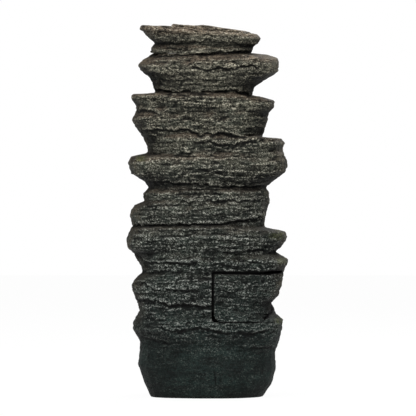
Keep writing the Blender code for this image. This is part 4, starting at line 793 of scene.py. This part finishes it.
def slate_ground(recipe, seen):
    """The slate's colour: pale above, green below, brown on flanks, brown with painted light on
    treads, then darker in random patches and with painted shade in hollows, on undersides and where
    it stands back.
    """
    height = recipe.height()
    colour = recipe.mix(recipe.ramp(seen.wide, 0.36, 0.64), SLATE_COOL, SLATE_WARM)
    # paler towards the top
    colour = recipe.mix(recipe.ramp(height, 0.76, 0.95, 0.0, 0.60), colour, PALE_TOP)
    # brown tone with painted light on faces that turn up
    colour = recipe.mix(recipe.maths("MULTIPLY", seen.lit_treads, 0.80), colour, LIT_TREAD_BROWN)
    colour = recipe.mix(recipe.ramp(height, 0.98, 0.10, 0.0, 0.94), colour, BASE_GREEN)
    brown = recipe.maths("MULTIPLY", seen.flank, recipe.ramp(seen.wide, 0.35, 0.58, 0.25, 0.95))
    brown = recipe.maths("MULTIPLY", brown, recipe.ramp(height, 0.12, 0.30, 0.0, 0.85))
    colour = recipe.mix(brown, colour, FLANK_BROWN)
    patchy = recipe.ramp(seen.worms, 0.40, 0.55, 0.3, 0.8)
    moss = recipe.maths("MULTIPLY", recipe.attribute("moss"), patchy)
    colour = recipe.mix(moss, colour, MOSS_GREEN)
    # darker in broad random patches
    colour = recipe.mix(recipe.ramp(seen.broad, 0.58, 0.38, 0.0, 0.45), colour, BROAD_DARK_PATCH)
    # painted shade in the bump's hollows
    colour = recipe.mix(recipe.ramp(seen.relief, 0.51, 0.37, 0.0, 0.90), colour, HOLLOW_SHADE_DARK)
    # painted shade on faces that turn down
    shaded_undersides = recipe.ramp(recipe.attribute("facing_up"), 0.47, 0.22, 0.0, 0.60)
    colour = recipe.mix(shaded_undersides, colour, HOLLOW_SHADE_DARK)
    colour = recipe.mix(recipe.ramp(seen.grain, 0.46, 0.35, 0.0, 0.80), colour, GRAIN_DARK)
    # painted shade where the surface stands back from its smoothed form
    return recipe.mix(recipe.ramp(seen.stand, 0.52, 0.15, 0.0, 0.92), colour, SET_BACK_SHADE_DARK)


def slate_brush(recipe, seen):
    """How much pale paint the dry brush left: flecks in clusters, and along crests and lips."""
    cluster = recipe.ramp(seen.wide, 0.40, 0.60, 0.35, 1.0)
    cluster = recipe.maths("MULTIPLY", cluster, recipe.ramp(seen.broad, 0.36, 0.56, 0.5, 1.0))
    brush = recipe.ramp(seen.grain, 0.55, 0.68)
    brush = recipe.maths("MULTIPLY", brush, recipe.ramp(seen.relief, 0.42, 0.54, 0.15, 1.0))
    threads = recipe.maths("MULTIPLY", seen.threads, recipe.ramp(seen.grain, 0.48, 0.60, 0.0, 0.8))
    brush = recipe.maths("MULTIPLY", recipe.maths("MAXIMUM", brush, threads), cluster)
    brush = recipe.maths("MULTIPLY", brush, recipe.ramp(seen.stand, 0.25, 0.65, 0.25, 1.0))
    crest = recipe.maths("MULTIPLY", recipe.ramp(recipe.attribute("ridge"), 0.55, 0.95), 0.7)
    lips = recipe.maths("MULTIPLY", recipe.attribute("lip"), recipe.ramp(seen.other, 0.38, 0.56))
    edges = recipe.maths("MAXIMUM", crest, lips)
    edges = recipe.maths("MULTIPLY", edges, recipe.ramp(seen.grain, 0.46, 0.60))
    brush = recipe.maths("MAXIMUM", brush, edges)
    brush = recipe.less(brush, seen.lit_treads, 0.35)
    brush = recipe.less(brush, seen.flank, 0.55)
    return recipe.maths("MULTIPLY", brush, recipe.ramp(recipe.height(), 0.08, 0.30, 0.15, 1.0))


def rock_finish():
    """Dark moulded slate: a black wash in its joints, painted shadow below them, under overhangs
    and round the door's gap, painted shade in recesses and on the hollow's side, and pale
    dry-brushed flecks.
    """
    recipe = Recipe("dry_brushed_slate")
    seen = SlatePatterns(recipe)
    colour = slate_ground(recipe, seen)
    paint = recipe.mix(recipe.ramp(recipe.height(), 0.80, 0.30), PAINT_WARM, PAINT_COOL)
    colour = recipe.mix(slate_brush(recipe, seen), colour, paint)
    # painted shade in recesses, and painted shadow under overhangs
    for attribute, share, dark in (("recess", 0.36, SHADE_DARK), ("undercut", 0.68, CRACK_AND_SHADOW_DARK)):
        shade = recipe.maths("MULTIPLY", recipe.attribute(attribute), share)
        colour = recipe.mix(shade, colour, dark)
    colour = recipe.mix(recipe.maths("MULTIPLY", seen.cracks, 0.80), colour, CRACK_AND_SHADOW_DARK)
    # dark joints, with painted shadow below each joint's lip
    joint = recipe.maths("MULTIPLY", recipe.attribute("joint"), 0.90)
    colour = recipe.mix(joint, colour, JOINT_AND_SHADOW_DARK)
    # painted black shadow beside the door's gap
    colour = recipe.mix(recipe.attribute("gap"), colour, GAP_SHADOW_BLACK)
    # the hollow's side: bare inside, darkened further as painted shade
    colour = recipe.mix(recipe.ramp(recipe.attribute("outside"), 0.90, 0.40), colour, BARE_SHADED_INSIDE)
    bumps = recipe.maths("ADD", seen.relief, recipe.maths("MULTIPLY", seen.grain, 0.45))
    bumps = recipe.maths("SUBTRACT", bumps, recipe.maths("MULTIPLY", seen.cracks, 0.25))
    recipe.bump(bumps, 0.0040)
    return recipe.finish(colour, recipe.ramp(seen.relief, 0.3, 0.7, 0.66, 0.88), specular=0.16)


def moulded_finish(name, dark, light, scale, roughness, depth, stretch=(1, 1, 1), specular=0.5):
    """A moulded or laid-up surface: two near colours, a fine texture and an uneven shine."""
    recipe = Recipe(name)
    grain = recipe.noise(scale, stretch, 4.0, 0.6)
    colour = recipe.mix(recipe.ramp(grain, 0.35, 0.65), dark, light)
    recipe.bump(grain, depth)
    uneven = recipe.noise(scale / 4, stretch, 3.0)
    shine = recipe.ramp(uneven, 0.3, 0.7, roughness - UNEVEN_SHINE, roughness + UNEVEN_SHINE)
    return recipe.finish(colour, shine, specular=specular)


def steel_finish():
    """Stainless steel with fine brush lines."""
    recipe = Recipe("brushed_stainless")
    lines = recipe.noise(900, (1, 1, 0.06), 2.0)
    colour = recipe.mix(recipe.ramp(lines, 0.3, 0.7), srgb(182, 182, 180), srgb(206, 206, 203))
    recipe.bump(lines, 0.00004)
    return recipe.finish(colour, recipe.ramp(lines, 0.3, 0.7, 0.22, 0.36), metallic=1.0)


def hose_finish():
    """Clear vinyl that has yellowed a little and shows its bore as a milky wall."""
    recipe = Recipe("clear_vinyl")
    cloud = recipe.noise(40, (1, 1, 0.3), 3.0)
    colour = recipe.mix(recipe.ramp(cloud, 0.35, 0.65), srgb(196, 202, 196), srgb(214, 218, 208))
    recipe.shader.inputs["Subsurface Weight"].default_value = 0.4
    recipe.shader.inputs["Subsurface Radius"].default_value = (0.004, 0.004, 0.003)
    return recipe.finish(colour, recipe.ramp(cloud, 0.3, 0.7, 0.16, 0.28))


def dress_plant():
    """Gives the frame's own nodes their finishes."""
    laminate = moulded_finish(
        "fibreglass_laminate", srgb(40, 42, 41), srgb(58, 60, 58), 160, 0.55, 0.0005, (1, 1, 0.5)
    )
    # the door frame behind the gap is near black: painted shadow in the gap
    frame_shadow_black = moulded_finish(
        "door_frame_shadow_black", srgb(7, 7, 7), srgb(12, 12, 12), 200, 0.80, 0.0003, specular=0.15
    )
    black = moulded_finish("black_abs", srgb(29, 29, 31), srgb(36, 36, 38), 700, 0.40, 0.00008)
    grey = moulded_finish(
        "grey_nylon", srgb(132, 135, 137), srgb(142, 145, 147), 500, 0.46, 0.00008
    )
    rubber = moulded_finish(
        "black_rubber", srgb(33, 33, 33), srgb(42, 41, 40), 420, 0.78, 0.0001, specular=0.3
    )
    magnet = moulded_finish(
        "sintered_ferrite", srgb(48, 47, 47), srgb(62, 60, 60), 900, 0.50, 0.00008
    )
    finishes = {
        "tub_laminate": laminate,
        "pump_plastic": black,
        "grey_plastic": grey,
        "rubber": rubber,
        "ferrite": magnet,
        "stainless_steel": steel_finish(),
        "clear_hose": hose_finish(),
    }
    for part in frame["record"]["subparts"]:
        node, slot = part["node"], part["material_slot"]
        if slot in finishes:
            obj = frame["nodes"][node]
            obj.data.materials.clear()
            # the door frame gets the painted shadow black
            obj.data.materials.append(frame_shadow_black if node == "door_frame" else finishes[slot])


# The stage, the light and the camera

def make_floor():
    """A pale floor that the camera sees as white, apart from the object's soft shadow."""
    bm = bmesh.new()
    bmesh.ops.create_grid(bm, x_segments=8, y_segments=8, size=FLOOR_SIZE)
    mesh = bpy.data.meshes.new("floor")
    bm.to_mesh(mesh)
    bm.free()
    floor = bpy.data.objects.new("floor", mesh)
    floor.location.z = -FLOOR_DROP
    bpy.context.scene.collection.objects.link(floor)
    recipe = Recipe("pale_floor")
    speckle = recipe.noise(30, (1, 1, 1), 3.0)
    colour = recipe.mix(recipe.ramp(speckle, 0.3, 0.7), srgb(240, 240, 238), srgb(244, 244, 242))
    mesh.materials.append(recipe.finish(colour, 0.9, specular=0.1))
    tree = recipe.tree
    white = tree.nodes.new("ShaderNodeEmission")
    white.inputs["Color"].default_value = WHITE
    white.inputs["Strength"].default_value = 1.0
    seen = tree.nodes.new("ShaderNodeMixShader")
    share = recipe.maths("MULTIPLY", recipe.seen_straight(), FLOOR_WHITE)
    tree.links.new(share, seen.inputs[0])
    tree.links.new(recipe.shader.outputs["BSDF"], seen.inputs[1])
    tree.links.new(white.outputs["Emission"], seen.inputs[2])
    tree.links.new(seen.outputs["Shader"], tree.nodes["Material Output"].inputs["Surface"])


def make_world():
    """Soft light from all sides, which the camera sees as white."""
    world = bpy.data.worlds.new("soft_studio")
    world.use_nodes = True
    bpy.context.scene.world = world
    tree = world.node_tree
    tree.nodes.clear()
    output = tree.nodes.new("ShaderNodeOutputWorld")
    soft = tree.nodes.new("ShaderNodeBackground")
    soft.inputs["Color"].default_value = WHITE
    soft.inputs["Strength"].default_value = WORLD_STRENGTH
    seen = tree.nodes.new("ShaderNodeBackground")
    seen.inputs["Color"].default_value = WHITE
    seen.inputs["Strength"].default_value = 1.0
    path = tree.nodes.new("ShaderNodeLightPath")
    straight = tree.nodes.new("ShaderNodeMath")
    straight.operation = "MAXIMUM"
    tree.links.new(path.outputs["Is Camera Ray"], straight.inputs[0])
    tree.links.new(path.outputs["Is Transmission Ray"], straight.inputs[1])
    mix = tree.nodes.new("ShaderNodeMixShader")
    tree.links.new(straight.outputs["Value"], mix.inputs[0])
    tree.links.new(soft.outputs["Background"], mix.inputs[1])
    tree.links.new(seen.outputs["Background"], mix.inputs[2])
    tree.links.new(mix.outputs["Shader"], output.inputs["Surface"])


def area_light(name, place, size, power):
    """A square lamp that is aimed at the tower's middle."""
    light = bpy.data.lights.new(name, "AREA")
    light.shape = "SQUARE"
    light.size = size
    light.energy = power
    obj = bpy.data.objects.new(name, light)
    obj.location = place
    obj.rotation_euler = (Vector(LIGHT_AIM) - Vector(place)).to_track_quat("-Z", "Y").to_euler()
    bpy.context.scene.collection.objects.link(obj)


def make_camera():
    """The camera behind the fountain, with a long lens as in the photograph."""
    data = bpy.data.cameras.new("camera")
    data.sensor_width = SENSOR
    data.lens = SENSOR * CAMERA_DISTANCE / (PICTURE * PIXEL)
    data.clip_start, data.clip_end = CLIP
    camera = bpy.data.objects.new("camera", data)
    bpy.context.scene.collection.objects.link(camera)
    aim = Vector(((AXIS_PIXEL - PICTURE / 2) * PIXEL, 0.0, MIDDLE_HEIGHT))
    back = Vector((0.0, math.cos(CAMERA_ELEVATION), math.sin(CAMERA_ELEVATION)))
    camera.location = aim + CAMERA_DISTANCE * back
    camera.rotation_mode = "QUATERNION"
    camera.rotation_quaternion = (-back).to_track_quat("-Z", "Y")
    bpy.context.scene.camera = camera


def main():
    bpy.context.scene.view_settings.view_transform = "Standard"
    make_camera()
    make_world()
    for light in LIGHTS:
        area_light(*light)
    make_floor()
    tower = Tower()
    slate = rock_finish()
    rock_piece("rear_rock", "rear_shell", "tower", VOXEL, tower, slate, over_seam, "access_door")
    rock_piece("front_rock", "front_shell", "tower", VOXEL, tower, slate, over_seam)
    rock_piece("top_rock", "top_slab", "tower", FINE_VOXEL, tower, slate, raised_edge)
    rock_piece("crown_rock", "crown_stone", "tower", FINE_VOXEL, tower, slate)
    rock_piece("door_rock", "access_door", "door", FINE_VOXEL, tower, slate, beside="rear_shell")
    dress_plant()


main()
